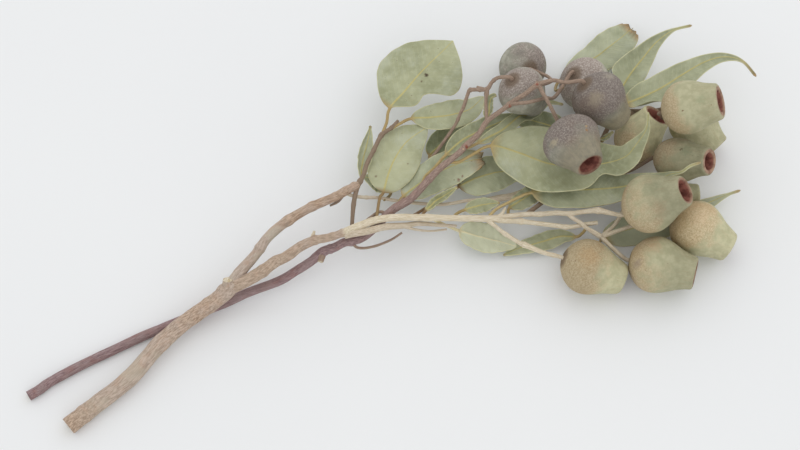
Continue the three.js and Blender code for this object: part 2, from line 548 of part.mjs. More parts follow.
// As skin, but both faces of the blade are split along the same diagonals.
function leafSkin(rings) {
  const count = rings[0].length;
  const wide = count / 2;
  const positions = [];
  const triangles = [];
  rings.forEach((ring) => ring.forEach((p) => positions.push(p.x, p.y, p.z)));
  for (let row = 0; row < rings.length - 1; row += 1) {
    for (let k = 0; k < count; k += 1) {
      const a = row * count + k;
      const b = row * count + ((k + 1) % count);
      const c = a + count;
      const d = b + count;
      if (k < wide - 1 || k === count - 1) triangles.push(a, c, b, b, c, d);
      else triangles.push(a, c, d, a, d, b);
    }
  }
  const end = (rings.length - 1) * count;
  for (let k = 0; k < wide - 1; k += 1) {
    const [a, b, c, d] = [k, k + 1, count - 2 - k, count - 1 - k];
    triangles.push(a, b, d, b, c, d);
    triangles.push(end + a, end + d, end + b, end + b, end + d, end + c);
  }
  return toGeometry(positions, triangles);
}

// ---- the parts ----------------------------------------------------------------------------

const finish = (color, roughness) => new THREE.MeshStandardMaterial({ color, roughness });
const GREY_BARK = finish(0x9c8470, 0.85);
const PURPLE_BARK = finish(0x6f555a, 0.8);
const GREY_NUT = finish(0x7f776f, 0.85);
const PALE_NUT = finish(0xa3aa88, 0.8);
const SAGE_LEAF = finish(0xa3af8b, 0.7);

const bunch = new THREE.Group();

function addPart(name, solid, material) {
  const mesh = new THREE.Mesh(fromSolid(largestBody(solid)), material);
  mesh.name = name;
  bunch.add(mesh);
}

const seats = branchSolid(TWIGS_A, SEAT_GAP).add(branchSolid(TWIGS_B, SEAT_GAP));

addPart('branch_a', branchSolid(TWIGS_A).subtract(BELOW), GREY_BARK);
addPart('branch_b', branchSolid(TWIGS_B).subtract(BELOW), PURPLE_BARK);

for (const [name, nut] of Object.entries(NUTS)) {
  const material = name.includes('grey') ? GREY_NUT : PALE_NUT;
  addPart(name, nutSolid(nut).subtract(BELOW).subtract(seats), material);
}

for (const [name, leaf] of Object.entries(LEAVES)) {
  addPart(name, leafSolid(leaf).subtract(seats), SAGE_LEAF);
}

export default bunch;
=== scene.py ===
# %% [markdown]
# # A bunch of dried eucalyptus
# Two branches of a large-fruited gum lie crossed on a pale table. They carry 24 sage-green
# leaves, five grey nuts and nine pale green ones.
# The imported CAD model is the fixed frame: it says how large each piece is and where it lies.
# This lesson gives every CAD solid a finer piece of its own, grown from the same routes and
# sizes, and then its finish. All lengths in the lists are millimetres; the meshes are metres.

# %% Load the frame
import math

import bpy
import numpy as np
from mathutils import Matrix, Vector


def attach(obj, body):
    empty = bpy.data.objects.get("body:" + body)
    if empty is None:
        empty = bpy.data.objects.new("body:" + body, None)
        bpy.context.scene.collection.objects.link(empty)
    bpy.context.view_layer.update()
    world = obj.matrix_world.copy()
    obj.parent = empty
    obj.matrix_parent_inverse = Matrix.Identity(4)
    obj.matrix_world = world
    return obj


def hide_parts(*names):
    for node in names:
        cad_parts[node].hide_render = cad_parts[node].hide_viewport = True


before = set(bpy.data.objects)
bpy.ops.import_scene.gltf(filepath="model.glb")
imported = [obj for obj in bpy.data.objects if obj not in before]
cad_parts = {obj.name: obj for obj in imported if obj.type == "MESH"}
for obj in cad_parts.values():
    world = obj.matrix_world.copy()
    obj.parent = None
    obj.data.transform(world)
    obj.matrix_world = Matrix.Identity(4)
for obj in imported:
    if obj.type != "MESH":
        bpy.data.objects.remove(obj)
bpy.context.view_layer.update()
MM = 0.001
print("CAD nodes:", len(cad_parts))

# %% [markdown]
# ## The camera
# The bunch was seen from above and a little from the side of its cut ends. A long lens from one
# metre away keeps the parallel stalks parallel. The camera comes first, because every later look
# at the render depends on it. It is aimed by its own back direction instead of by a constraint,
# so that its place stays plain numbers.

# %% Camera
CAMERA_ELEVATION = math.radians(68)
CAMERA_AZIMUTH = math.radians(-24)
CAMERA_DISTANCE = 1.0
CAMERA_TARGET = Vector((0.0045, 0.009, 0.0))
LENS = 75                # mm
SENSOR_WIDTH = 36        # mm

camera_data = bpy.data.cameras.new("camera")
camera_data.lens = LENS
camera_data.sensor_width = SENSOR_WIDTH
camera = bpy.data.objects.new("camera", camera_data)
bpy.context.scene.collection.objects.link(camera)
back = Vector((math.sin(CAMERA_AZIMUTH) * math.cos(CAMERA_ELEVATION),
               -math.cos(CAMERA_AZIMUTH) * math.cos(CAMERA_ELEVATION),
               math.sin(CAMERA_ELEVATION)))
camera.location = CAMERA_TARGET + back * CAMERA_DISTANCE
camera.rotation_euler = back.to_track_quat("Z", "Y").to_euler()
bpy.context.scene.camera = camera
print("camera at", tuple(round(v, 3) for v in camera.location))

# %% [markdown]
# ## The routes of the twigs
# A branch is a set of tapering tubes. Each twig is a short list of points [x, y, z, radius] that
# a smooth curve runs through, the same lists that the CAD source holds. A skin modifier on a
# wire of edges could also make such a tree, but a list of radii keeps each twig's taper exact.

# %% Twigs of the grey branch
TWIGS_A = {
    "stem": [
        [-219, -29, 5, 5.2], [-209, -26, 5.1, 5.1], [-198, -23, 5.5, 5.0], [-177, -17, 6.8, 4.9],
        [-155, -6, 8.6, 4.8], [-141, -1, 9.8, 4.7], [-128, 2, 11.2, 4.6], [-116, 4, 13.5, 4.6],
        [-107, 6, 16.5, 4.8], [-101, 8, 18.8, 4.4]],
    "grey_fork": [
        [-105, 7, 17, 4], [-96, 12, 20.5, 3.3], [-83, 18, 23, 3.0], [-73, 24, 25, 2.9],
        [-60, 28, 26.5, 2.9], [-44, 30, 28, 2.7], [-28, 30, 29, 2.6], [-20, 31, 29, 2.7],
        [-12, 32, 28, 2.1]],
    "cut_stub": [
        [-106, 6, 16.5, 3.8], [-104, 10, 22.5, 2.9]],
    "pale_fork": [
        [-106, 7, 17, 4.2], [-95, 6, 20, 3.7], [-84, 7, 21.5, 3.6], [-75, 9, 22.8, 3.3],
        [-68, 9, 23.6, 3.1], [-58, 11, 24.8, 2.9], [-49, 11, 25.6, 2.6], [-41, 9, 26.2, 2.4],
        [-32, 8, 27, 2.3], [-27, 8, 27.7, 2.3], [-18, 7, 29.6, 2.3], [-10, 6, 30.2, 2.2], [0, 3, 30, 2.1],
        [12, -2, 29, 2.0], [31, -10, 27, 1.9], [50, -18, 25, 1.9], [57, -22, 24, 1.6], [66, -26, 23, 1.5],
        [75, -31, 22, 1.4], [84, -36, 21, 1.4], [91, -40, 20.5, 1.4], [100, -42, 20, 1.3],
        [108, -44, 19.5, 1.2]],
    "spike": [
        [-51, 11, 25.5, 1.6], [-47, 16, 26.5, 0.8]],
    "brown_strand": [
        [-32, 6, 26.3, 1.8], [-27, 5, 27.3, 2.0], [-20, 3, 28.2, 2.1], [-15, 2, 28.6, 2.1],
        [-8, 1, 28, 2.0], [2, -2, 26.5, 1.7], [11, -4, 25, 1.4], [22, -9, 23, 1.1], [31, -13, 21.5, 0.8]],
    "loose_strand": [
        [2, -3, 26.5, 0.9], [9, -7, 24, 0.7], [16, -10, 22, 0.6], [25, -12, 20, 0.6]],
    "leaf_twig": [
        [-25, 12, 22, 1.2], [-19, 23, 25.5, 1.3], [-13, 31, 28, 1.5], [-7, 36, 29, 1.3],
        [-2, 42, 29.5, 1.3], [5, 48, 30, 1.3], [13, 55, 30, 1.4], [20, 57, 29.5, 1.2], [26, 60, 29, 0.9]],
    "under_twig": [
        [-21, 31, 28, 1.4], [-18, 28, 26, 1.1], [-12, 25, 24, 1.0], [-3, 22, 21, 1.0], [5, 18, 18, 1.0],
        [18, 11, 16, 1.0], [31, 5, 15, 1.0], [46, 2, 13, 1.0], [54, -1, 11, 1.8], [63, -3, 10.5, 2.0],
        [72, -5, 10.5, 2.0], [81, -5, 10.5, 1.4]],
    "side_shoot": [
        [-22, 30, 28, 1.1], [-27, 28, 25.5, 0.9], [-32, 28, 24, 0.6]],
    "fruit_twig": [
        [46, -16, 25.3, 1.5], [58, -20, 25, 1.5], [71, -24, 24.5, 1.5], [78, -27, 24.3, 1.5],
        [87, -30, 24, 1.5], [95, -34, 24, 1.5], [102, -36, 24.3, 1.4], [110, -39, 25, 1.8],
        [116, -44, 26, 1.4], [121.9, -47.9, 25.7, 1.2], [125, -48.8, 28.3, 1.2]],
    "low_twig": [
        [93, -33, 24, 1.3], [95, -37, 23.5, 1.2], [98, -41, 22.5, 1.2], [100, -45, 21.5, 1.2],
        [106, -53, 19.5, 1.7]],
    "to_p4b": [
        [106, -53, 19.5, 1.3], [118, -48, 16, 1.2], [131, -39, 14, 1.2], [140.5, -37.5, 9.9, 1.2],
        [144.4, -38.8, 10.1, 1.2]],
    "to_p5": [
        [106, -53, 19.5, 1.3], [120, -53, 17.5, 1.2], [134, -54, 17, 1.2], [150, -56.1, 19.7, 1.2],
        [152.4, -59.3, 18.8, 1.2]],
    "to_p6": [
        [106, -53, 19.5, 1.5], [108, -58, 18, 1.3], [110, -62, 16.5, 1.3], [114.2, -69.3, 13.6, 1.2],
        [117.3, -71.9, 14.1, 1.2]],
    "to_p7": [
        [47, -16, 25.3, 1.4], [51, -23, 24.2, 1.2], [54, -29, 23.5, 1.2], [60, -38, 22.5, 1.3],
        [62, -40, 22.3, 1.7], [70, -49, 22.5, 1.3], [77.7, -54.2, 20.3, 1.2], [80.8, -56.8, 19.3, 1.2]],
    "broken_tip": [
        [55, -19, 25, 1.2], [58, -18, 26, 1.0], [61, -16, 26.5, 0.7]],
    "hidden_twig": [
        [71, -24, 24.5, 1.4], [86, -18, 17, 1.3], [106, -12, 14, 1.3], [124, -4, 13, 1.3],
        [136, 5, 14, 1.4], [146, 12, 18, 1.4], [154, 13, 24, 1.5]],
    "to_p3": [
        [125, -3, 13, 1.3], [136, -3, 6, 1.2], [145.5, -6.7, 1.2, 1.2], [148.1, -5.9, 4.2, 1.2]],
    "to_p2": [
        [108, -11, 14, 1.3], [124, -17, 13, 1.2], [141, -20, 14, 1.2], [157.2, -19.6, 18.2, 1.2],
        [159.6, -22.1, 20.5, 1.2]],
    "to_p1": [
        [154, 13, 24, 1.4], [165, 6, 17, 1.3], [173, 0, 22, 1.3], [172, -4, 33, 1.2],
        [165.4, -4.1, 42.2, 1.2], [168.8, -5.6, 44.1, 1.2]],
    "to_p1b": [
        [154, 13, 24, 1.4], [165, 12, 16, 1.3], [178, 9, 13, 1.2], [185.6, 7.8, 17.5, 1.2],
        [186.9, 4, 16.6, 1.2]],
}
print("twigs of the grey branch:", len(TWIGS_A))

# %% Twigs of the purple branch
TWIGS_B = {
    "stem": [
        [-234, -2, 2.7, 2.9], [-227, -1, 2.7, 2.9], [-219, 1, 2.7, 2.85], [-200, 3, 2.7, 2.8],
        [-181, 4, 2.8, 2.8], [-162, 5, 2.9, 2.75], [-148, 5, 3, 2.7], [-131, 5, 3.1, 2.7],
        [-109, 4, 4.2, 2.7], [-95, 4, 6, 2.7], [-76, 2, 9.5, 2.7], [-64, 3, 12, 2.7], [-55, 4, 14, 2.7],
        [-46, 6, 16, 2.9], [-39, 5, 18, 2.6], [-33, 5, 19.5, 2.6], [-26, 3, 20.8, 2.5], [-20, 3, 22, 2.5],
        [-13, 5, 23.4, 2.5], [-5, 8, 25.5, 2.5], [2, 10, 27, 2.5], [12, 11, 28.5, 2.4], [24, 16, 30, 2.2],
        [31, 19, 31, 2.1], [37, 21, 32, 2.0], [49, 24, 34, 1.8], [54, 26, 35, 1.9], [64, 29, 38, 1.6],
        [71, 33, 41, 1.6], [80, 34, 45.5, 1.4], [86, 34, 50, 1.6], [91, 34, 53.5, 1.4], [96, 34, 56, 1.4],
        [100, 35, 57, 1.4], [105, 36, 57, 1.8]],
    "knob": [
        [-48, 4, 15.8, 2.5], [-50, 1, 15.6, 1.7]],
    "curved_twig": [
        [-29, 4, 20.3, 1.1], [-27, -1, 19, 0.8], [-19, -4, 19, 0.8], [-8, -5, 20.5, 0.7], [0, -4, 22, 0.6]],
    "knobby_twig": [
        [-4, 8, 25.8, 1.2], [-7, 12, 25.5, 0.9], [-14, 11, 25, 0.9], [-17, 10, 25, 1.0]],
    "pair_twig": [
        [2, 10, 27, 1.2], [15, 20, 17, 1.0], [26, 28, 15.5, 1.0], [37, 34, 19, 1.0], [48, 39, 26, 1.0],
        [56, 43, 32, 1.0], [60, 46, 36.5, 1.0], [63, 48, 39, 1.1], [68, 53, 43.5, 1.1], [70, 54, 45, 1.3],
        [74, 52, 46, 1.1], [79, 50, 46.5, 1.4], [83, 52, 48.5, 1.1], [87, 52, 51, 1.1],
        [93, 49.1, 51.8, 1.2], [94.7, 47.6, 48.4, 1.2]],
    "short_twig": [
        [71, 33, 41, 1.1], [73, 38, 42.5, 1.0], [76, 45, 43.5, 1.0], [79, 50, 46.5, 1.3]],
    "dry_stub": [
        [77, 51, 46, 1.1], [74, 54, 46, 0.7]],
    "to_g3": [
        [86, 34, 50, 1.3], [90, 31, 53.5, 1.1], [96, 29, 53.8, 1.1], [107, 30, 48, 1.1],
        [117, 34, 35, 1.1], [133.4, 45.6, 31.4, 1.2], [135.7, 44.6, 28.1, 1.2]],
    "to_g4": [
        [105, 36, 57, 1.6], [114, 35, 56.5, 1.2], [120, 31, 56, 1.1], [129, 28.3, 55.9, 1.2],
        [130.9, 25.8, 53.2, 1.2]],
    "to_g5": [
        [105, 36, 57, 1.6], [105, 31, 56, 1.2], [106, 23, 53.5, 1.1], [107.9, 13.2, 46.2, 1.2],
        [108.1, 9.2, 47.2, 1.2]],
    "to_g1": [
        [105, 36, 57, 1.6], [113, 37, 51, 1.1], [118, 43, 40, 1.0], [118, 49, 34.5, 1.0],
        [112.9, 57.4, 31.1, 1.2], [112.7, 59.9, 27.9, 1.2]],
}
print("twigs of the purple branch:", len(TWIGS_B))

# %% [markdown]
# ## Smooth curves
# A Catmull-Rom spline passes through every point it is given, which a Bezier circle or a NURBS
# curve doesn't, so a twig lies exactly where its list says. Beyond its two ends the spline uses
# mirrored points.

# %% Curve helpers
UP = np.array([0.0, 0.0, 1.0])
LENGTH_SAMPLES = 200     # points that a route's length is measured over


def spline_weights(count, t):
    """One row of weights for each t, 0 to 1, over count evenly spaced points."""
    place = np.clip(np.asarray(t, float), 0, 1) * (count - 1)
    k = np.minimum(place.astype(int), count - 2)
    w = place - k
    shares = np.stack([-w + 2 * w**2 - w**3, 2 - 5 * w**2 + 3 * w**3,
                       w + 4 * w**2 - 3 * w**3, -w**2 + w**3], axis=1) / 2
    padded = np.zeros((len(w), count + 2))
    rows = np.arange(len(w))
    for n in range(4):
        padded[rows, k + n] += shares[:, n]
    weights = padded[:, 1:-1].copy()
    weights[:, 0] += 2 * padded[:, 0]
    weights[:, 1] -= padded[:, 0]
    weights[:, -1] += 2 * padded[:, -1]
    weights[:, -2] -= padded[:, -1]
    return weights


def curve_at(points, t):
    """Points of the smooth curve at each t, 0 at its start and 1 at its end."""
    return spline_weights(len(points), t) @ np.asarray(points, float)


def route_length(points):
    """The length of the smooth curve through the points."""
    samples = curve_at(points, np.linspace(0, 1, LENGTH_SAMPLES))
    return np.linalg.norm(np.diff(samples, axis=0), axis=1).sum()


def unit(v):
    """The same directions, each of length 1."""
    return v / np.maximum(np.linalg.norm(v, axis=-1, keepdims=True), 1e-9)


def values_at(values, t):
    """Evenly spaced values read at each t, with straight lines between them."""
    return np.interp(t, np.linspace(0, 1, len(values)), values)


def wobble(seed, *places):
    """A smooth value between about -1 and 1 that depends on the places, the same on each run."""
    total = 0.0
    for n in range(1, 4):
        for m, place in enumerate(places):
            total = total + np.sin(n * 2.39 * place + seed * (1.7 * n + m) + 1.3 * m * n) / n
    return total / (1.8 * len(places))


print("middle of the stem:", curve_at([p[:3] for p in TWIGS_A["stem"]], [0.5])[0].round(1))

# %% [markdown]
# ## From rows of points to a mesh
# Leaves, twigs and nuts are all skins over rows of points, so one helper makes every mesh and
# stores the values that its finish needs as UV layers. A finish painted by such values stays
# with the surface, whatever way the piece is turned.

# %% Mesh helpers
TABLE_TOP = 0.05         # nothing reaches below this height


def make_mesh(name, vertices, faces, layers):
    """A smooth mesh; layers holds, by name, a pair of values for each vertex."""
    mesh = bpy.data.meshes.new(name)
    mesh.from_pydata((np.asarray(vertices) * MM).tolist(), [], faces)
    corners = np.empty(len(mesh.loops), dtype=np.int32)
    mesh.loops.foreach_get("vertex_index", corners)
    for layer, values in layers.items():
        made = mesh.uv_layers.new(name=layer)
        made.uv.foreach_set("vector", np.asarray(values, float)[corners].ravel())
    mesh.shade_smooth()
    mesh.update()
    thing = bpy.data.objects.new(name, mesh)
    bpy.context.scene.collection.objects.link(thing)
    return thing


def tube_faces(rows, count):
    """Quads between rows of points that each close on themselves."""
    faces = []
    for row in range(rows - 1):
        for k in range(count):
            a = row * count + k
            b = row * count + (k + 1) % count
            faces.append((a, b, b + count, a + count))
    return faces


def closed_skin(rings, ends):
    """Vertices and faces over closed rows of points, shut by a fan to a point at each end."""
    rows, count = rings.shape[:2]
    vertices = np.concatenate([rings.reshape(-1, 3), ends])
    vertices[:, 2] = np.maximum(vertices[:, 2], TABLE_TOP)
    faces = tube_faces(rows, count)
    start, last = rows * count, (rows - 1) * count
    for k in range(count):
        after = (k + 1) % count
        faces.append((after, k, start))
        faces.append((last + k, last + after, start + 1))
    return vertices, faces


def circle(turn):
    """A ring's turns as points round a unit square, so that a finish has no seam there."""
    return np.stack([0.5 + 0.5 * np.cos(turn), 0.5 + 0.5 * np.sin(turn)], axis=-1)


def name_seed(name, most):
    """A whole number below most that is always the same for a name."""
    return sum(ord(letter) for letter in name) % most


def dress(thing, finish):
    """Gives a piece its one finish."""
    thing.data.materials.clear()
    thing.data.materials.append(finish)


print("a tube of 3 rows of 4 points has", len(tube_faces(3, 4)), "faces")

# %% [markdown]
# ## Twigs with nodes and knots
# Bark isn't smooth. Where leaves once grew, a twig has a ring or a knot, and its thickness
# wanders. Each ring of the tube is pushed out by a slow wobble, by collars at its nodes, and by
# one-sided knots. Sculpting could do the same by hand, but a formula puts a knot at a real place
# along the branch and can be changed later.

# %% Knots and collars
# Each is [share along the twig, side it faces in degrees, height, length], and a collar, which
# goes all the way round, has no side.
KNOTS = {
    "A stem": [[0.12, None, 0.2, 2.5], [0.323, 80, 0.5, 2.4], [0.463, None, 0.4, 2.0],
               [0.5, 250, 0.7, 3.0], [0.557, 90, 0.6, 2.2], [0.743, None, 0.3, 2.0],
               [0.88, 60, 0.9, 4.0], [0.99, 250, 1.0, 5.0]],
    "A grey_fork": [[0.12, None, 0.3, 1.6], [0.29, 80, 0.8, 2.0], [0.29, None, 0.3, 1.6],
                    [0.515, None, 0.5, 1.8], [0.52, 270, 0.8, 2.0], [0.638, 80, 0.8, 1.7],
                    [0.64, None, 0.35, 1.3], [0.758, None, 0.3, 1.3], [0.96, None, 0.6, 2.2]],
    "A pale_fork": [[0.095, None, 0.4, 1.6], [0.14, 90, 0.6, 1.6], [0.2, 270, 1.2, 2.0],
                    [0.23, 90, 0.7, 1.5], [0.274, 90, 1.2, 1.7], [0.275, None, 0.4, 1.4],
                    [0.33, 60, 0.4, 1.4], [0.362, None, 0.3, 1.2], [0.603, None, 0.4, 1.2],
                    [0.775, None, 0.5, 1.3], [0.9, None, 0.35, 1.1]],
    "A leaf_twig": [[0.12, None, 0.2, 1.2], [0.305, None, 0.5, 1.4], [0.62, None, 0.3, 1.2],
                    [0.75, None, 0.4, 1.4], [0.88, None, 0.3, 1.0]],
    "A fruit_twig": [[0.3, None, 0.3, 1.1], [0.5, None, 0.3, 1.2], [0.7, None, 0.5, 1.4]],
    "A to_p7": [[0.3, None, 0.3, 1.1], [0.57, None, 0.3, 1.3], [0.8, None, 0.25, 1.0]],
    "A under_twig": [[0.2, None, 0.3, 1.0], [0.5, None, 0.3, 1.0]],
    "B stem": [[0.135, None, 0.15, 1.5], [0.247, 80, 0.35, 1.6], [0.38, 90, 0.5, 1.6],
               [0.38, 270, 0.4, 1.6], [0.4, None, 0.3, 1.2], [0.458, 250, 0.7, 2.4],
               [0.458, None, 0.3, 2.0], [0.565, 80, 0.4, 1.6], [0.657, None, 0.3, 1.3],
               [0.765, 80, 0.5, 1.8], [0.79, None, 0.3, 1.3], [0.88, None, 0.4, 1.3],
               [0.907, 90, 0.4, 1.2], [1.0, None, 0.6, 1.6]],
    "B pair_twig": [[0.36, None, 0.2, 1.0], [0.6, None, 0.3, 1.2], [0.68, None, 0.5, 1.2],
                    [0.82, None, 0.3, 1.0]],
    "B short_twig": [[0.85, None, 0.4, 1.2]],
}
print("knots and collars:", sum(len(knots) for knots in KNOTS.values()))

# %% Rings of a twig
RING_STEP = 1.1          # mm along a twig
THICK_SIDES = 28         # points round a thick twig
THIN_SIDES = 14          # points round a thin one
THICK_RADIUS = 2.0       # mm; a thick twig is wider than this somewhere
BARK_WOBBLE = 0.055      # share of the radius
TANGENT_STEP = 0.002     # share of the route


def twig_rings(label, route):
    """Rings of points along one twig, how far along it each ring is, and the turns round it."""
    points = np.array([p[:3] for p in route], float)
    length = route_length(points)
    rows = max(6, int(length / RING_STEP))
    t = np.linspace(0, 1, rows + 1)
    middle = curve_at(points, t)
    ahead, behind = np.clip(t + TANGENT_STEP, 0, 1), np.clip(t - TANGENT_STEP, 0, 1)
    along = unit(curve_at(points, ahead) - curve_at(points, behind))
    radius = values_at([p[3] for p in route], t)
    sides = THICK_SIDES if radius.max() > THICK_RADIUS else THIN_SIDES
    turn = np.linspace(0, 2 * math.pi, sides, endpoint=False)
    flat = unit(np.cross(UP, along))
    above = np.cross(along, flat)
    seed = name_seed(label, 17)
    grown = 1 + BARK_WOBBLE * wobble(seed, t[:, None] * length / 5 + 0 * turn[None, :],
                                     3 * np.sin(turn)[None, :] + t[:, None] * length / 9)
    bump = np.zeros_like(grown)
    for share, side, height, reach in KNOTS.get(label, []):
        near = np.exp(-((t - share) * length / reach) ** 2)[:, None]
        facing = 1.0 if side is None else np.exp(2.5 * (np.cos(turn - math.radians(side)) - 1))[None, :]
        bump = bump + height * near * facing
    reach = radius[:, None] * grown + bump
    rings = (middle[:, None, :] + reach[..., None] * (
        np.cos(turn)[None, :, None] * flat[:, None, :] + np.sin(turn)[None, :, None] * above[:, None, :]))
    return rings, t * length, turn


rings, lengths = twig_rings("A stem", TWIGS_A["stem"])[:2]
print("stem of the grey branch:", rings.shape[0], "rings of", rings.shape[1], "points,",
      round(lengths[-1]), "mm")

# %% [markdown]
# ## One solid branch
# A branch and its twigs grew as one piece of wood. Each twig is first a closed tube, and then a
# Boolean union joins the tubes, so no hidden faces are left inside the forks. Remeshing into
# voxels would join them too, but it would lose the UV layers that the bark finish reads.
# The layers are "round" (where round the twig a point is), "length" (how far along it is), "tone"
# (how cream the bark is, and how much of it is bare cut wood) and "rust" (how red-brown it is).

# %% Tones along a twig
CREAM_START = 0.362      # share of the pale fork where its bark turns cream
CREAM_TWIGS = ["spike", "to_p7", "broken_tip"]
BROWN_TWIGS = ["brown_strand", "loose_strand", "under_twig"]
# These twigs turn dark brown: leaf_twig and side_shoot for their weathered bark, and hidden_twig and the
# stalks to the nuts as painted shade where they lie in shadow.
WEATHERED_AND_SHADED_TWIGS = ["leaf_twig", "side_shoot", "hidden_twig", "to_p1", "to_p1b", "to_p2", "to_p3"]


def bark_tone(label, share):
    """How cream the bark is along a twig: -1 is dark brown, weathered on some twigs and painted shade on
    those that lie in shadow, 0 grey-brown and 1 cream.
    """
    name = label.split()[1]
    if label.startswith("B"):
        return np.clip(share * 1.2 - 0.2, 0, 1) if name == "stem" else np.full_like(share, 0.9)
    if name in ("stem", "grey_fork", "cut_stub"):
        return np.full_like(share, 0.05)
    if name == "pale_fork":
        return np.clip((share - CREAM_START) * 25 + 0.45, 0.25, 1)
    if name in BROWN_TWIGS:
        return np.full_like(share, 0.6)
    if name in WEATHERED_AND_SHADED_TWIGS:
        return np.full_like(share, -1.0)
    return np.full_like(share, 0.9 if name in CREAM_TWIGS else 0.75)


def bark_rust(label, share):
    """How red-brown the bark is along a twig, from 0 to 1."""
    if label == "A stem":
        return 0.55 + 0.35 * np.cos(2 * math.pi * share * 1.5)
    if label == "A grey_fork":
        return np.clip((share - 0.42) * 9, 0, 1)
    if label == "A pale_fork":
        return np.full_like(share, 0.75)
    return np.full_like(share, 0.3)


print("tones of the pale fork:", bark_tone("A pale_fork", np.linspace(0, 1, 5)).round(2))

# %% A twig as a closed tube
LENGTH_UNIT = 300        # mm along a twig that the UV value 1 stands for
WELD_REACH = 1e-6        # metres


def twig_object(label, route):
    """One closed tube. Each flat end has a rim of its own, so that the cut wood ends there."""
    rings, along, turn = twig_rings(label, route)
    rows, count = rings.shape[:2]
    share = along / along[-1]
    rim = 2 * count + 2
    start = np.full(rows * count, name_seed(label, 11) / 11)
    length = np.repeat(along / LENGTH_UNIT, count)
    tone = np.repeat(bark_tone(label, share), count)
    rust = np.repeat(bark_rust(label, share), count)
    faces = tube_faces(rows, count)
    base = rows * count
    for k in range(count):
        after = (k + 1) % count
        faces.append((base + after, base + k, base + 2 * count))
        faces.append((base + count + k, base + count + after, base + 2 * count + 1))
    vertices = np.concatenate([rings.reshape(-1, 3), rings[0], rings[-1],
                               [rings[0].mean(axis=0)], [rings[-1].mean(axis=0)]])
    layers = {
        "round": np.concatenate([np.tile(circle(turn), (rows + 2, 1)), [[0.5, 0.5]] * 2]),
        "length": np.concatenate([np.stack([length, start], 1), [[0.0, start[0]]] * rim]),
        "tone": np.concatenate([np.stack([tone, 0 * tone], 1), [[0.5, 1.0]] * rim]),
        "rust": np.concatenate([np.stack([rust, rust], 1), [[0.3, 0.3]] * rim]),
    }
    thing = make_mesh(label.replace(" ", "_"), vertices, faces, layers)
    weld(thing)
    return thing


def weld(thing):
    """Joins points that lie in the same place; the UV layers keep their own values there."""
    joined = thing.modifiers.new("weld", "WELD")
    joined.merge_threshold = WELD_REACH
    apply_modifiers(thing)


def apply_modifiers(thing):
    """Makes the modified mesh the piece's own."""
    graph = bpy.context.evaluated_depsgraph_get()
    done = bpy.data.meshes.new_from_object(thing.evaluated_get(graph), depsgraph=graph)
    thing.modifiers.clear()
    thing.data = done


print("a tube's ends are welded within", WELD_REACH, "m")

# %% Grow both branches


def grow_branch(name, letter, twigs):
    """All twigs of a branch, joined into one closed solid."""
    parts = [twig_object(f"{letter} {twig}", route) for twig, route in twigs.items()]
    branch = parts[0]
    branch.name = name
    for part in parts[1:]:
        join = branch.modifiers.new("join", "BOOLEAN")
        join.operation = "UNION"
        join.solver = "MANIFOLD"
        join.object = part
        apply_modifiers(branch)
    for part in parts[1:]:
        bpy.data.objects.remove(part)
    heights = np.empty(len(branch.data.vertices) * 3)
    branch.data.vertices.foreach_get("co", heights)
    heights[2::3] = np.maximum(heights[2::3], TABLE_TOP * MM)
    branch.data.vertices.foreach_set("co", heights)
    branch.data.update()
    return branch


grey_branch = grow_branch("grey_branch", "A", TWIGS_A)
purple_branch = grow_branch("purple_branch", "B", TWIGS_B)
for branch, node in ((grey_branch, "branch_a"), (purple_branch, "branch_b")):
    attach(branch, "root")
    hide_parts(node)
    print(branch.name, "faces:", len(branch.data.polygons))

# %% [markdown]
# ## The nuts
# A gum nut is a woody urn: a round body, a shoulder, a short neck, and a thick lip round a
# sunken mouth. It is round about one axis, so it is turned like a pot on a wheel: a profile of
# [share of length, share of radius] is swept round. The last number in a row of the lip says how
# far into the mouth the point is, which the finish reads.
# Each nut is a little out of round, has faint folds along its neck, and its mouth ends in valves.
# A screw modifier could turn the profile too, but then it would be the same all the way round.
# The layers are "round" (where round the nut a point is), "place" (how far toward the mouth, and
# how far into it), "tone" (how brown, and a number of the nut's own), "rim" and "light".

# %% Sizes and places of the nuts


def named_rows(columns, rows):
    """For each row of a table, its values by the names of the columns."""
    return {name: dict(zip(columns.split(), row)) for name, row in rows.items()}


# middle is the centre of the widest ring, heading and pitch say where its mouth points, in
# degrees, and neck how wide its neck is beside the profile's.
NUTS = named_rows("middle radius length heading pitch neck", {
    "nut_grey_1": [[112.1, 66.6, 19.2], 15, 30, 95, -52, 0.8],
    "nut_grey_2": [[99.5, 43.5, 38.9], 14.5, 31, -41, -56, 0.8],
    "nut_grey_3": [[142.4, 41.6, 18.3], 16, 33, -24, -53, 0.9],
    "nut_grey_4": [[136.9, 18, 44.5], 16.3, 35, -52, -41, 0.85],
    "nut_grey_5": [[108.8, -3, 50.5], 17.4, 34, -87, 15, 0.82],
    "nut_pale_1": [[179.4, -10.3, 50], 15.5, 35, -24, 27, 1.08],
    "nut_pale_2": [[191.3, -8, 13.7], 14.4, 35, -70, -13, 0.95],
    "nut_pale_3": [[167.3, -30.2, 28], 13.4, 36, -46, 34, 0.95],
    "nut_pale_4": [[156.4, -3.3, 13.5], 14.2, 34, 18, 47, 1],
    "nut_pale_5": [[136.2, -52.1, 38], 17, 40, -17, 40, 0.85],
    "nut_pale_6": [[156, -42.8, 10.8], 9.5, 33, -19, 3, 0.9],
    "nut_pale_7": [[161, -70.5, 15.8], 16.6, 38, -52, -12, 0.88],
    "nut_pale_8": [[128.6, -81.2, 16], 16.8, 39, -40, 7, 0.9],
    "nut_pale_9": [[91.5, -65.7, 15.9], 16.1, 38, -40, -14, 0.92],
})
print("nuts:", len(NUTS))

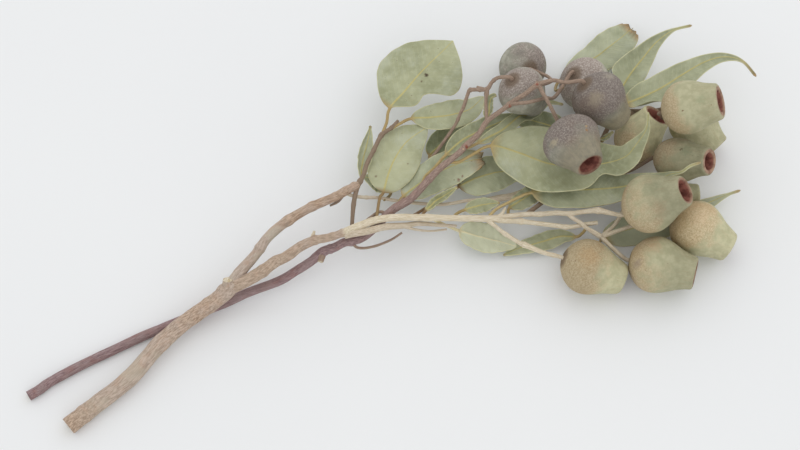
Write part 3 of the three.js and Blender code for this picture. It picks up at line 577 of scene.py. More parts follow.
# %% Profile of a nut
NUT_ROUND = 96           # points round the nut
WIDEST = 0.42            # share of its length where a nut is widest
BODY_PROFILE = [
    [0, 0.02], [0.002, 0.12], [0.01, 0.3], [0.05, 0.51], [0.12, 0.72], [0.19, 0.855],
    [0.27, 0.95], [0.345, 0.99], [0.42, 1], [0.5, 0.98], [0.57, 0.94], [0.64, 0.88],
    [0.7, 0.82], [0.75, 0.77], [0.8, 0.73], [0.85, 0.695], [0.9, 0.668], [0.945, 0.642]]
LIP_PROFILE = [
    [0.972, 0.625, 0.06], [0.99, 0.59, 0.14], [0.998, 0.55, 0.22], [1.0, 0.51, 0.3],
    [0.996, 0.475, 0.38], [0.985, 0.45, 0.46], [0.96, 0.425, 0.58], [0.91, 0.395, 0.66],
    [0.85, 0.37, 0.74], [0.8, 0.35, 0.8], [0.775, 0.32, 0.88], [0.768, 0.24, 0.94],
    [0.77, 0.14, 0.97], [0.775, 0.05, 1.0]]
BODY_ROWS = 46


def nut_profile():
    """Rows of [share of length, share of radius, how far into the mouth]."""
    body = np.array(BODY_PROFILE)
    t = np.linspace(0, 1, BODY_ROWS)
    smooth = spline_weights(len(body), t) @ body
    outside = np.column_stack([smooth, np.zeros(BODY_ROWS)])
    lip = np.array(LIP_PROFILE)
    fine = spline_weights(len(lip), np.linspace(0, 1, 2 * len(lip))) @ lip
    return np.concatenate([outside, fine])


PROFILE = nut_profile()
print("profile rows:", len(PROFILE))

# %% Looks of the nuts
# tan is how brown its body is, folds how deep the folds of its neck are, flare how far its lip
# stands out, lean how far it bulges to one side, rim how wide and pink its rim is, and light how
# pale its body and its neck are beside the others. light is partly each nut's own paleness and
# partly painted light and painted shade: nut_pale_4 is made paler to stand in for the light on its
# lit side, and other nuts lighter or darker to match how lit or shaded they lie.
NUT_LOOKS = named_rows("tan folds flare lean rim light", {
    "nut_grey_1": [0.0, 0.3, 0.0, 0.02, 0.3, [1.1, 1.1]],
    "nut_grey_2": [0.0, 0.3, 0.0, 0.02, 0.3, [1.2, 1.1]],
    "nut_grey_3": [0.3, 0.3, 0.0, 0.03, 0.3, [1.4, 1.3]],
    "nut_grey_4": [0.9, 0.5, 0.0, 0.03, 0.2, [0.85, 1.1]],
    "nut_grey_5": [0.8, 0.4, 0.0, 0.02, 0.1, [0.88, 0.95]],
    "nut_pale_1": [0.5, 0.7, 0.0, 0.03, 0.35, [1.0, 0.95]],
    "nut_pale_2": [0.15, 0.6, 0.05, 0.02, 0.5, [1.0, 1.0]],
    "nut_pale_3": [0.55, 0.8, 0.04, 0.03, 0.6, [0.7, 0.66]],
    "nut_pale_4": [0.7, 0.6, 0.02, 0.02, 0.3, [1.35, 1.35]],
    "nut_pale_5": [0.55, 0.5, 0.01, 0.03, 0.2, [0.97, 0.74]],
    "nut_pale_6": [0.5, 0.5, 0.02, 0.02, 0.3, [0.9, 0.9]],
    "nut_pale_7": [0.6, 0.5, 0.0, 0.03, 0.25, [1.18, 1.18]],
    "nut_pale_8": [0.5, 0.7, 0.02, 0.03, 0.15, [1.0, 0.85]],
    "nut_pale_9": [0.85, 0.5, -0.03, 0.02, 0.2, [0.9, 1.15]],
})
print("nuts with looks:", len(NUT_LOOKS))

# %% Axis and radius of a nut


def nut_axis(nut):
    """The way that a nut's mouth points, and its stalk end."""
    turn, rise = math.radians(nut["heading"]), math.radians(nut["pitch"])
    along = np.array([math.cos(rise) * math.cos(turn), math.cos(rise) * math.sin(turn), math.sin(rise)])
    return along, np.array(nut["middle"]) - WIDEST * nut["length"] * along


def nut_radius(nut, share, reach):
    """A nut's radius at a share of its length, where its profile has this share of the radius."""
    past_widest = np.clip((share - WIDEST) / (1 - WIDEST), 0, 1)
    return reach * nut["radius"] * (1 + (nut["neck"] - 1) * past_widest)


print("stalk end of nut_pale_5:", nut_axis(NUTS["nut_pale_5"])[1].round(1))

# %% Turn the nuts
# MOUTHS holds the two nuts whose mouth is narrower than usual, because their lip is thick.
MOUTHS = {"nut_pale_1": 0.87, "nut_pale_3": 0.9}
NECK_AT = 0.87           # share of the length where the folds are deepest
NECK_REACH = 0.12
LIP_AT = 0.975           # share of the length where the lip flares
LIP_REACH = 0.045
FOLD_DEPTH = 0.012       # this and the next three are shares of the radius
RIDGE_DEPTH = 0.02
DENT_DEPTH = 0.006
VALVE_REACH = 0.34
VALVE_HEIGHT = 0.035     # share of the length


def turn_nut(name, nut, looks):
    """One nut: the profile swept round its axis, a little out of round."""
    along, base = nut_axis(nut)
    side = unit(np.cross(UP, along))
    other = np.cross(along, side)
    seed = sum(ord(letter) * (n + 1) for n, letter in enumerate(name)) % 29
    turn = np.linspace(0, 2 * math.pi, NUT_ROUND, endpoint=False)[None, :]
    share, reach, mouth = (PROFILE[:, n][:, None] for n in range(3))
    neck = np.exp(-((share - NECK_AT) / NECK_REACH) ** 2)
    inside = np.clip((mouth - 0.5) * 4, 0, 1)
    leaning = looks["lean"] * np.sin(turn + seed) * np.sin(math.pi * share)
    out_of_round = leaning + 0.012 * np.sin(2 * turn + 1.7 * seed) + 0.008 * np.sin(3 * turn + seed)
    folds = FOLD_DEPTH * looks["folds"] * neck * (
        np.sin(23 * turn + seed) + np.sin(37 * turn + 5 * share))
    ridges = -RIDGE_DEPTH * inside * np.abs(np.sin(6 * turn + seed + 0.8 * np.sin(2 * turn + seed)))
    flare = looks["flare"] * np.exp(-((share - LIP_AT) / LIP_REACH) ** 2)
    dents = DENT_DEPTH * wobble(seed, 2.2 * np.cos(turn) + 5 * share, 2.2 * np.sin(turn) - 4 * share)
    narrow = (1 - MOUTHS.get(name, 1.0)) * np.clip((mouth - 0.1) / 0.3, 0, 1)
    radius = nut_radius(nut, share, reach) * (1 + out_of_round + folds + ridges + flare + dents - narrow)
    floor = np.clip(1 - reach / VALVE_REACH, 0, 1) * (mouth > 0.85)
    valves = floor * VALVE_HEIGHT * (1 + np.cos(4 * turn + seed))
    height = nut["length"] * (share + valves)
    points = base + height[..., None] * along + radius[..., None] * (
        np.cos(turn)[..., None] * side + np.sin(turn)[..., None] * other)
    vertices, faces = closed_skin(points, np.array([base, points[-1].mean(axis=0)]))
    rows = len(PROFILE)
    place = np.repeat(np.column_stack([share, mouth]), NUT_ROUND, axis=0)
    layers = {
        "round": np.concatenate([np.tile(circle(turn[0]), (rows, 1)), [[0.5, 0.5]] * 2]),
        "place": np.concatenate([place, [[0, 0], [0.8, 1]]]),
    }
    constant = {"tone": [looks["tan"], (seed % 10) / 10], "rim": [looks["rim"]] * 2,
                "light": looks["light"]}
    for layer, pair in constant.items():
        layers[layer] = np.tile(pair, (len(vertices), 1))
    return make_mesh("gum_" + name, vertices, faces, layers)


nuts = {}
for name, nut in NUTS.items():
    nuts[name] = turn_nut(name, nut, NUT_LOOKS[name])
    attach(nuts[name], "root")
    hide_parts(name)
print("nuts made:", len(nuts), "with", sum(len(n.data.polygons) for n in nuts.values()), "faces")

# %% [markdown]
# ## The leaves
# A gum leaf is one long blade on a stalk, thick as card, with a raised rib and a pale thickened
# margin that reads as a fine cream line. Its route runs from the twig along the stalk to the
# tip. The blade is a grid laid across that route: width says how far it reaches to each side,
# shape how soon it widens and narrows, cup lifts its edges, wave ripples them and roll turns
# the whole blade about its rib. A plane with a leaf picture would be quicker, but it would have
# no thickness, no rib and no edge to catch the light.

# %% Routes and forms of the leaves
# base is the number of the route's point where the stalk ends. width is in mm to the left and
# the right, roll in degrees at the two ends, wave is [mm, count, phase], and shape [how slowly
# the blade widens, how slowly it narrows].
LEAVES = named_rows("base width roll cup wave shape route", {
    "leaf_01": [2, [24.5, 24.5], [0, 0], -0.1, [1.0, 1.5, 0], [1.3, 1.0], [
        [14, 56, 30], [19, 61, 31], [24, 68, 32], [36, 74, 33], [50, 81, 34.5], [64, 87, 35], [77, 93, 34]]],
    "leaf_02": [1, [4.5, 4.5], [35, 20], 0.6, [0.5, 1.5, 0], [0.6, 0.9], [
        [-12, 32, 28], [-9, 35, 26.5], [-6, 42, 25], [0, 51, 24.5], [6, 59, 25], [10, 65, 26]]],
    "leaf_03": [3, [14.5, 15], [0, 8], -0.08, [0.8, 2, 1], [0.55, 0.75], [
        [-12, 6, 29.8], [-8, 13, 27], [-3, 21, 24.5], [0, 23, 24], [7, 32, 24], [15, 40, 24.5],
        [26, 47, 25], [41, 51, 24.5]]],
    "leaf_04": [2, [9, 9], [5, 10], 0.1, [0.8, 2, 0], [0.6, 0.7], [
        [17, 56, 30], [26, 58, 28.5], [34, 59, 27], [46, 55, 26], [58, 52, 25.5], [69, 51, 25.5],
        [80, 55, 26]]],
    "leaf_05": [2, [8.5, 9], [0, 0], 0.05, [0.5, 2, 2], [0.5, 0.8], [
        [37, 35, 19], [36, 35, 16], [37, 38, 13], [43, 41, 12], [51, 44, 12], [60, 44, 12.5],
        [70, 45, 13.5]]],
    "leaf_06": [2, [6, 6], [0, 0], 0.1, [0.5, 2, 0], [0.6, 0.9], [
        [-1, 20, 20.3], [3, 22, 17], [6, 26, 13.5], [4, 32, 11.5], [0, 38, 11], [-5, 43, 11]]],
    "leaf_07": [2, [11, 11.5], [0, 0], -0.06, [1, 2, 0.5], [0.5, 0.5], [
        [0, 9, 26.5], [5, 13, 23], [10, 17, 21], [24, 21, 20.5], [40, 23, 21], [54, 22, 21.5],
        [65, 19, 22]]],
    "leaf_08": [3, [7, 5.5], [10, 0], 0.2, [0.8, 2, 0], [0.55, 0.75], [
        [21, 15, 29.5], [26, 21, 27], [33, 24, 26.5], [43, 29, 26.5], [57, 34, 26.5], [72, 35, 26.5],
        [87, 37, 22.3], [98, 36, 20]]],
    "leaf_09": [3, [22, 18.5], [1, 0], 0.08, [1.2, 3, 2.4], [0.5, 1.25], [
        [41, 22, 32.3], [47, 20, 31.5], [56, 21, 31], [69, 22, 30.5], [83, 11, 29.5], [95, -1, 28.5],
        [109, -9, 28], [125, -15, 29], [138, -17, 31], [146, -14, 34], [155, -9, 39], [160, -1, 43]]],
    "leaf_10": [4, [11.5, 12], [0, 0], 0.05, [0.8, 3, 0], [0.5, 1.7], [
        [49, -17, 25], [56, -14, 25], [64, -13, 24.5], [72, -12, 23.5], [80, -12, 22.5], [96, -17, 21.5],
        [113, -24, 21], [130, -30, 21.5], [143, -34, 26], [151, -38, 32], [155, -41, 40], [159, -44, 46],
        [164, -44, 50], [170, -45, 51.5]]],
    "leaf_11": [3, [12, 12.5], [0, 0], 0.05, [0.8, 2, 0], [0.5, 0.8], [
        [6, 0, 29.5], [19, 5, 20.5], [31, 9, 17], [44, 12, 14], [56, 13, 13.5], [70, 11, 13.5],
        [79, 7, 13], [85, 0, 12.5]]],
    "leaf_12": [2, [9.5, 9], [0, 0], 0.05, [0.8, 2, 1], [0.5, 0.7], [
        [18, -5, 28.5], [25, -8, 19], [33, -13, 12], [40, -18, 9], [47, -23, 7.5], [54, -28, 6.5],
        [61, -34, 6]]],
    "leaf_13": [2, [6, 5.5], [0, 0], 0.1, [0.8, 2, 0], [0.6, 0.8], [
        [100, -45, 21.6], [98, -45, 15], [95, -44, 10], [87, -39, 6.5], [75, -37, 5], [63, -35, 4],
        [52, -35, 3.5]]],
    "leaf_14": [2, [4.5, 5], [10, 0], 0.2, [0.5, 2, 0], [0.6, 0.8], [
        [30, -9, 27], [35, -6, 22], [40, -5, 19.5], [51, -6, 18.5], [61, -9, 18.5]]],
    "leaf_15": [2, [5.5, 6.5], [0, 0], 0.1, [0.5, 2, 0], [0.6, 0.8], [
        [58, -22, 24], [62, -18, 20], [65, -14, 17.5], [74, -12, 16.5], [84, -10, 16], [95, -10, 16]]],
    "leaf_16": [3, [11, 12], [0, 0], -0.05, [0.8, 2, 0], [0.6, 0.4], [
        [124, 38, 33.3], [123, 43, 21], [130, 53, 6], [137, 57, 3], [149, 59, 4], [162, 60, 7],
        [176, 63, 10], [190, 67, 11]]],
    "leaf_17": [2, [11.5, 9.5], [0, 30], 0.15, [0.6, 2, 0], [0.5, 1.8], [
        [148, 13, 18.5], [148, 18, 19], [153, 23, 19], [168, 34, 20], [181, 41, 22], [192, 46, 25],
        [204, 48, 28], [216, 46, 29]]],
    "leaf_18": [2, [9, 11], [-5, 20], 0.2, [1.0, 3, 0], [0.5, 1.7], [
        [151, 13, 22], [153, 15, 23.5], [156, 16, 25], [169, 16, 25.5], [183, 17, 26], [196, 19, 27.5],
        [210, 20, 30], [222, 18, 31.5], [231, 11, 32], [235, -1, 29.5]]],
    "leaf_19": [2, [8.5, 11], [0, 20], 0.02, [0.3, 2, 0], [0.45, 1.3], [
        [107, -54, 19], [107, -52, 9], [112, -49, 2.6], [123, -49, 1.7], [135, -51, 1.6], [151, -54, 1.5],
        [167, -54, 2], [178, -55, 5], [188, -56, 9], [197, -58, 13]]],
    "leaf_20": [1, [3.2, 3.2], [-30, -20], 0.8, [0.3, 2, 0], [0.5, 0.8], [
        [71, 33, 40], [73, 36, 37], [77, 41, 34.5], [79, 45, 34.5], [82, 48, 36], [86, 47, 38]]],
    "leaf_21": [2, [4.5, 4.5], [15, 0], 0.1, [0.5, 2, 0], [0.5, 0.8], [
        [54, 25, 34.5], [58, 26, 31.5], [63, 27, 30], [71, 28, 29.5], [80, 29, 29.5], [93, 34, 26.3],
        [105, 38, 22.2], [116, 39, 18.5], [124, 34, 18]]],
    "leaf_22": [2, [9, 8.5], [0, 0], 0.05, [0.6, 2, 0], [0.6, 0.9], [
        [131, 1, 13.5], [129, 8, 10], [125, 14, 9], [117, 23, 9.5], [109, 31, 10], [100, 38, 10],
        [91, 44, 10]]],
    "leaf_23": [1, [1.8, 1.8], [0, 0], 0.1, [0, 1, 0], [0.5, 0.9], [
        [136, 4, 14], [135, 4, 17.5], [136, 3, 20], [138, 3, 21.5], [142, 4, 22]]],
    "leaf_24": [1, [2.8, 2.8], [0, 0], 0.3, [0.3, 2, 0], [0.5, 0.6], [
        [13, -2, 29], [17, 1, 27], [21, 3, 25], [26, 6, 22], [34, 8, 20.5], [42, 10, 20]]],
})
# Some leaves have one thing more: another shape on their left, a bay in their right edge [where,
# depth, reach], or a blunt tip so many millimetres wide.
LEAF_EXTRAS = {
    "left_shape": {"leaf_01": [0.65, 0.9], "leaf_09": [0.8, 1.8]},
    "dip": {"leaf_01": [0.34, 0.45, 0.12], "leaf_09": [0.6, 0.5, 0.055]},
    "tip": {"leaf_07": 9, "leaf_16": 7},
}
for feature, values in LEAF_EXTRAS.items():
    for name, value in values.items():
        LEAVES[name][feature] = value
print("leaves:", len(LEAVES))

# %% [markdown]
# ## Leaves lie on what is under them
# A blade that would cut through a nut or a twig is bent clear of it, as in the CAD. Nuts and
# twigs are stood for by balls, and a point inside a ball moves out to its skin. The push is
# worked out on the CAD's own coarse grid and then smoothed over the fine one, because a push on
# each fine point alone would print every ball into the leaf.

# %% Keep the blades clear
BLADE_THICKNESS = 0.7
CLEARANCE = 0.9          # to a nut or a twig, for the coarse grid
FINE_CLEARANCE = 0.35    # the same for the fine grid
FLOOR_CLEARANCE = 0.4
BALL_STEP = 2.0          # between the balls along a twig
NECK_BALLS = [[0.8, 0.72], [0.93, 0.65]]   # share of a nut's length, share of its radius
NEAR = 25.0              # balls farther off than this can't touch a leaf


def obstacle_balls():
    """Centres and radii of balls that fill the nuts and the twigs."""
    centres, radii = [], []
    for nut in NUTS.values():
        along, base = nut_axis(nut)
        for share, reach in [[WIDEST, 1.0]] + NECK_BALLS:
            centres.append(base + share * nut["length"] * along)
            radii.append(nut_radius(nut, share, reach))
    for route in list(TWIGS_A.values()) + list(TWIGS_B.values()):
        points = [p[:3] for p in route]
        steps = math.ceil(route_length(points) / BALL_STEP)
        t = np.arange(steps + 1) / steps
        centres.extend(curve_at(points, t))
        radii.extend(values_at([p[3] for p in route], t))
    return np.array(centres), np.array(radii)


BALL_CENTRES, BALL_RADII = obstacle_balls()


def bent_clear(points, clearance, passes):
    """The points, each moved out of the balls and up from the table."""
    moved = points.copy()
    low, high = points.min(axis=0) - NEAR, points.max(axis=0) + NEAR
    near = np.all((BALL_CENTRES > low) & (BALL_CENTRES < high), axis=1)
    for _ in range(passes):
        for centre, radius in zip(BALL_CENTRES[near], BALL_RADII[near]):
            away = moved - centre
            distance = np.linalg.norm(away, axis=1)
            short = radius + clearance + BLADE_THICKNESS / 2 - distance
            moved += away * (np.maximum(short, 0) / distance)[:, None]
        moved[:, 2] = np.maximum(moved[:, 2], FLOOR_CLEARANCE + BLADE_THICKNESS / 2)
    return moved


print("balls:", len(BALL_RADII))

# %% Middle line of a leaf
ROUTE_STEPS = 240        # straight steps that a route is measured over


class LeafRoute:
    """A leaf's middle line, sampled evenly by length."""

    def __init__(self, leaf):
        self.leaf = leaf
        self.samples = curve_at(leaf["route"], np.linspace(0, 1, ROUTE_STEPS + 1))
        steps = np.linalg.norm(np.diff(self.samples, axis=0), axis=1)
        self.lengths = np.concatenate([[0], np.cumsum(steps)])
        self.total = self.lengths[-1]
        first = round(ROUTE_STEPS * leaf["base"] / (len(leaf["route"]) - 1))
        self.stalk = self.lengths[first] / self.total

    def at(self, s):
        """The point at each share s of the length."""
        s = np.clip(s, 0, 1) * self.total
        return np.stack([np.interp(s, self.lengths, self.samples[:, n]) for n in range(3)], axis=1)

    def frame(self, s):
        """Middle, side and up at each share s of the length."""
        along = unit(self.at(s + 0.01) - self.at(s - 0.01))
        flat_side = unit(np.cross(UP, along))
        flat_up = np.cross(along, flat_side)
        first, last = self.leaf["roll"]
        roll = np.radians(first + (last - first) * s)[:, None]
        side = flat_side * np.cos(roll) + flat_up * np.sin(roll)
        up = flat_up * np.cos(roll) - flat_side * np.sin(roll)
        return self.at(s), side, up


print("leaf_01 with its stalk:", round(LeafRoute(LEAVES["leaf_01"]).total), "mm")

# %% Sheet of a leaf
STALK_WIDTH = 1.8
TIP_WIDTH = 0.7
COARSE_ROWS = 8
COARSE_ACROSS = np.array([-1, -0.5, 0, 0.5, 1])
BEND_START = 0.12        # share of the blade over which a bend grows from its base


def fullness_at(leaf, u, left):
    """The blade's width on one side at each share u of its length, as a share of the most."""
    p, q = leaf.get("left_shape", leaf["shape"]) if left else leaf["shape"]
    peak = (p / (p + q)) ** p * (q / (p + q)) ** q
    where, depth, reach = (0, 0, 1) if left else leaf.get("dip", (0, 0, 1))
    dip = depth * np.exp(-(((u - where) / reach) ** 2))
    return u**p * (1 - u) ** q / peak * (1 - dip)


def blade_points(route, u, across, fine=0.0):
    """The blade's middle sheet for shares u of the blade and across -1 to 1, and its half width."""
    leaf = route.leaf
    s = route.stalk + (1 - route.stalk) * u
    middle, side, up = route.frame(s)
    tip = leaf.get("tip", TIP_WIDTH)
    least = np.where(u == 1, tip, np.where(u > 0.5, max(STALK_WIDTH, tip), STALK_WIDTH))[:, None] / 2
    v = across[None, :]
    fullness = np.where(v > 0, fullness_at(leaf, u, True)[:, None], fullness_at(leaf, u, False)[:, None])
    reach = np.where(v > 0, leaf["width"][0], leaf["width"][1])
    width = np.maximum(least, fullness * reach)
    amount, count, phase = leaf["wave"]
    ripple = amount * np.sin(2 * math.pi * count * u + phase)[:, None] * fullness
    lift = v * v * (leaf["cup"] * width + ripple * np.where(v < 0, -1, 1))
    if fine:
        seed = route.total + leaf["width"][0]
        crinkle = wobble(seed, 9 * u[:, None] + 0.5 * v, 2.2 * v + 3 * u[:, None])
        edge = np.sin(2 * math.pi * 6.3 * u[:, None] + seed + 1.5 * v) * np.abs(v) ** 3
        lift = lift + fine * fullness * (0.5 * crinkle + 0.45 * edge)
    sheet = (middle[:, None, :] + side[:, None, :] * (v * width)[..., None]
             + up[:, None, :] * lift[..., None])
    return sheet, width, up


def bending(route):
    """How far the coarse grid moves to stand clear, as a smooth map over the blade."""
    u = np.arange(COARSE_ROWS + 1) / COARSE_ROWS
    sheet, _, _ = blade_points(route, u, COARSE_ACROSS)
    clear = bent_clear(sheet.reshape(-1, 3), CLEARANCE, 6).reshape(sheet.shape)
    return (clear - sheet) * np.clip(u / BEND_START, 0, 1)[:, None, None]


print("coarse grid:", COARSE_ROWS + 1, "by", len(COARSE_ACROSS))

# %% [markdown]
# ## Skin of a leaf
# Each row of the grid becomes a ring: over the upper side, round the edge, and back under. The
# half thickness follows the real leaf: 0.35 mm in the blade, a bead at the margin, a ridge at
# the rib that fades toward the tip, and a round stalk. Six UV layers hold what the finish
# needs: "measure" (distance to the margin and to the rib), "lay" (along and across, in real
# size), "tone" (how light the leaf is, and which side it is), "dry" (how brown and how spotted),
# "stalk" (how near the stalk it is, and how far toward the tip) and "hue" (how yellow it is, and
# the colour of the stalk). A solidify modifier would be quicker, but the rib, the bead and the
# stalk each need a thickness of their own.

# %% Looks of the leaves
# tone is how light a leaf is, tip how far it is brown from its tip, spots how spotted, warm how
# yellow, and stalk the colour of its stalk and rib: 0 brown, 0.5 tan, 1 cream. tone is partly a
# leaf's own colour and partly painted light and shade: the low leaves in shadow, such as leaf_05,
# leaf_06, leaf_08, leaf_20 and leaf_22, get a low tone as painted shade, and leaf_12, which lies
# in shade, gets 1.6 as painted light.
LEAF_LOOKS = named_rows("tone tip spots warm stalk", {
    "leaf_01": [0.42, 0.0, 0.5, 0.6, 0.4],
    "leaf_02": [0.6, 0.3, 0.1, 0.3, 0.3],
    "leaf_03": [0.65, 0.1, 0.3, 0.6, 0.2],
    "leaf_04": [0.55, 0.05, 0.3, 0.5, 0.4],
    "leaf_05": [0.0, 0.1, 0.2, 0.4, 0.3],
    "leaf_06": [0.2, 0.1, 0.1, 0.4, 0.3],
    "leaf_07": [0.65, 0.9, 0.5, 0.3, 0.4],
    "leaf_08": [0.3, 0.1, 0.2, 0.5, 0.5],
    "leaf_09": [0.5, 0.0, 0.1, 0.6, 0.5],
    "leaf_10": [0.4, 0.3, 0.25, 0.4, 0.6],
    "leaf_11": [0.5, 0.1, 0.2, 0.4, 0.0],
    "leaf_12": [1.6, 0.0, 0.2, 0.3, 1.0],
    "leaf_13": [0.45, 0.2, 0.2, 0.5, 0.5],
    "leaf_14": [0.4, 0.3, 0.2, 0.6, 0.4],
    "leaf_15": [0.4, 0.4, 0.3, 0.5, 0.4],
    "leaf_16": [0.6, 0.6, 0.2, 0.3, 0.4],
    "leaf_17": [0.45, 0.3, 0.1, 0.4, 0.5],
    "leaf_18": [0.5, 0.8, 0.2, 0.4, 0.5],
    "leaf_19": [0.8, 0.3, 0.1, 0.2, 0.6],
    "leaf_20": [0.1, 0.4, 0.2, 0.5, 0.4],
    "leaf_21": [0.5, 0.2, 0.2, 0.5, 0.6],
    "leaf_22": [0.0, 0.1, 0.1, 0.5, 0.3],
    "leaf_23": [0.6, 0.3, 0.1, 0.6, 0.6],
    "leaf_24": [0.3, 0.2, 0.4, 1.0, 0.1],
})
print("leaves with looks:", len(LEAF_LOOKS))

# %% Rows and thickness of a leaf
STALK_ROWS = 14
BLADE_ROWS = 64
HALF_ACROSS = np.array([0, 0.035, 0.1, 0.2, 0.33, 0.47, 0.61, 0.74, 0.85, 0.93, 0.975, 1])
ACROSS = np.concatenate([-HALF_ACROSS[:0:-1], HALF_ACROSS])
STALK_THICKNESS = 1.5
RIB_HEIGHT = 0.5
RIB_REACH = 0.65
BEAD_HEIGHT = 0.12       # of the margin
BEAD_REACH = 0.5
TORN_SHARE = 0.14        # the last part of a torn blade, where it is ragged
STALK_BLEND = 0.05       # share of the blade where its thickness leaves the stalk's


def torn(sheet, u, leaf):
    """A torn leaf's tip ends at another share of the blade in each column."""
    if "tip" not in leaf:
        return sheet
    ragged = sheet.copy()
    depth = 0.05 + 0.05 * wobble(leaf["tip"], 9 * ACROSS)
    for column in range(len(ACROSS)):
        seen = u - depth[column] * np.clip((u - 1 + TORN_SHARE) / TORN_SHARE, 0, 1)
        for n in range(3):
            ragged[:, column, n] = np.interp(seen, u, sheet[:, column, n])
    return ragged


def leaf_rows(route):
    """The leaf's middle sheet from twig to tip, with widths, ups, and u (0 on the stalk)."""
    u = np.linspace(0, 1, BLADE_ROWS + 1)
    sheet, width, up = blade_points(route, u, ACROSS, fine=1.0)
    push = np.einsum("ra,abn,cb->rcn", spline_weights(COARSE_ROWS + 1, u), bending(route),
                     spline_weights(len(COARSE_ACROSS), (ACROSS + 1) / 2))
    sheet = sheet + push
    clear = bent_clear(sheet.reshape(-1, 3), FINE_CLEARANCE, 2).reshape(sheet.shape)
    sheet = torn(sheet + (clear - sheet) * np.clip(u / BEND_START, 0, 1)[:, None, None], u, route.leaf)
    s = np.linspace(0, route.stalk, STALK_ROWS, endpoint=False)
    middle, side, stalk_up = route.frame(s)
    stalk_width = np.full((STALK_ROWS, len(ACROSS)), STALK_WIDTH / 2)
    stalk = middle[:, None, :] + side[:, None, :] * (ACROSS[None, :] * stalk_width)[..., None]
    return (np.concatenate([stalk, sheet]), np.concatenate([stalk_width, width]),
            np.concatenate([stalk_up, up]), np.concatenate([np.zeros(STALK_ROWS), u]))


def half_thickness(width, u):
    """Half the leaf's thickness at each point of the sheet."""
    v = np.abs(ACROSS)[None, :]
    u = u[:, None]
    from_rib = v * width
    from_edge = (1 - v) * width
    blade = BLADE_THICKNESS / 2 + BEAD_HEIGHT * np.exp(-(from_edge / BEAD_REACH) ** 2)
    rib = RIB_HEIGHT * np.exp(-(from_rib / RIB_REACH) ** 2) * np.clip(1 - u, 0, 1) ** 0.6
    flat = (blade + rib) * np.sqrt(np.clip(1 - v**14, 0, 1))
    stalk = STALK_THICKNESS / 2 * np.sqrt(np.clip(1 - v**2, 0, 1))
    return stalk + (flat - stalk) * np.clip(u / STALK_BLEND, 0, 1)


print("fine grid:", STALK_ROWS + BLADE_ROWS + 1, "by", len(ACROSS))

# %% Make the leaves
DRY_SHARE = 0.22         # the most of a blade that is brown
STALK_FADE = 0.06        # share of the blade where its colour leaves the stalk's
MEASURE = 40.0           # mm that the UV value 1 stands for, across a blade
LAY = 150.0              # the same along it


def make_leaf(name, leaf, looks):
    """One leaf: the sheet given thickness, closed, with the values that its finish reads."""
    route = LeafRoute(leaf)
    sheet, width, up, u = leaf_rows(route)
    half = half_thickness(width, u)
    wide = len(ACROSS)
    upper = sheet + up[:, None, :] * half[..., None]
    lower = sheet - up[:, None, :] * half[..., None]
    rings = np.concatenate([upper, lower[:, wide - 2:0:-1]], axis=1)
    vertices, faces = closed_skin(rings, np.array([rings[0].mean(axis=0), rings[-1].mean(axis=0)]))
    ring_of = np.concatenate([np.arange(wide), np.arange(wide - 2, 0, -1)])
    under = np.concatenate([np.zeros(wide), np.ones(wide - 2)])
    v = ACROSS[ring_of][None, :] + 0 * u[:, None]
    reach = width[:, ring_of]
    along = np.concatenate([np.linspace(0, route.stalk, STALK_ROWS, endpoint=False),
                            route.stalk + (1 - route.stalk) * u[STALK_ROWS:]])[:, None] + 0 * v
    dry = DRY_SHARE * looks["tip"]
    far = np.clip((u[:, None] - 1 + dry) / (dry + 0.02), 0, 1) + 0 * v
    on_stalk = np.clip(1 - u[:, None] / STALK_FADE, 0, 1) + 0 * v
    values = {
        "measure": [(1 - np.abs(v)) * reach / MEASURE, np.abs(v) * reach / MEASURE],
        "lay": [along * route.total / LAY, 0.5 + v * reach / LAY],
        "tone": [0 * v + looks["tone"], 0 * v + under[None, :]],
        "dry": [far, 0 * v + looks["spots"]],
        "stalk": [on_stalk, u[:, None] + 0 * v],
        "hue": [0 * v + looks["warm"], 0 * v + looks["stalk"]],
    }
    layers = {}
    for key, (x, y) in values.items():
        pairs = np.column_stack([x.ravel(), y.ravel()])
        layers[key] = np.concatenate([pairs, pairs[[0]], pairs[[-1]]])
    return make_mesh("dry_" + name, vertices, [face[::-1] for face in faces], layers)


leaves = {}
for name, leaf in LEAVES.items():
    leaves[name] = make_leaf(name, leaf, LEAF_LOOKS[name])
    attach(leaves[name], "root")
    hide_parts(name)
print("leaves made:", len(leaves), "with", sum(len(n.data.polygons) for n in leaves.values()), "faces")

# %% [markdown]
# ## Finishes
# Nothing here is one flat colour. Bark, nuts and leaves are all painted by nodes that read the
# UV layers from above and noise at the real scale of each mark. Colours are written as they
# look, in the usual hex form, and one helper turns them into the linear light that shaders use.

# %% Node helpers


def colour(code):
    """A hex colour as linear light."""
    parts = [int(code[n:n + 2], 16) / 255 for n in (1, 3, 5)]
    return tuple(p / 12.92 if p <= 0.04045 else ((p + 0.055) / 1.055) ** 2.4 for p in parts) + (1.0,)


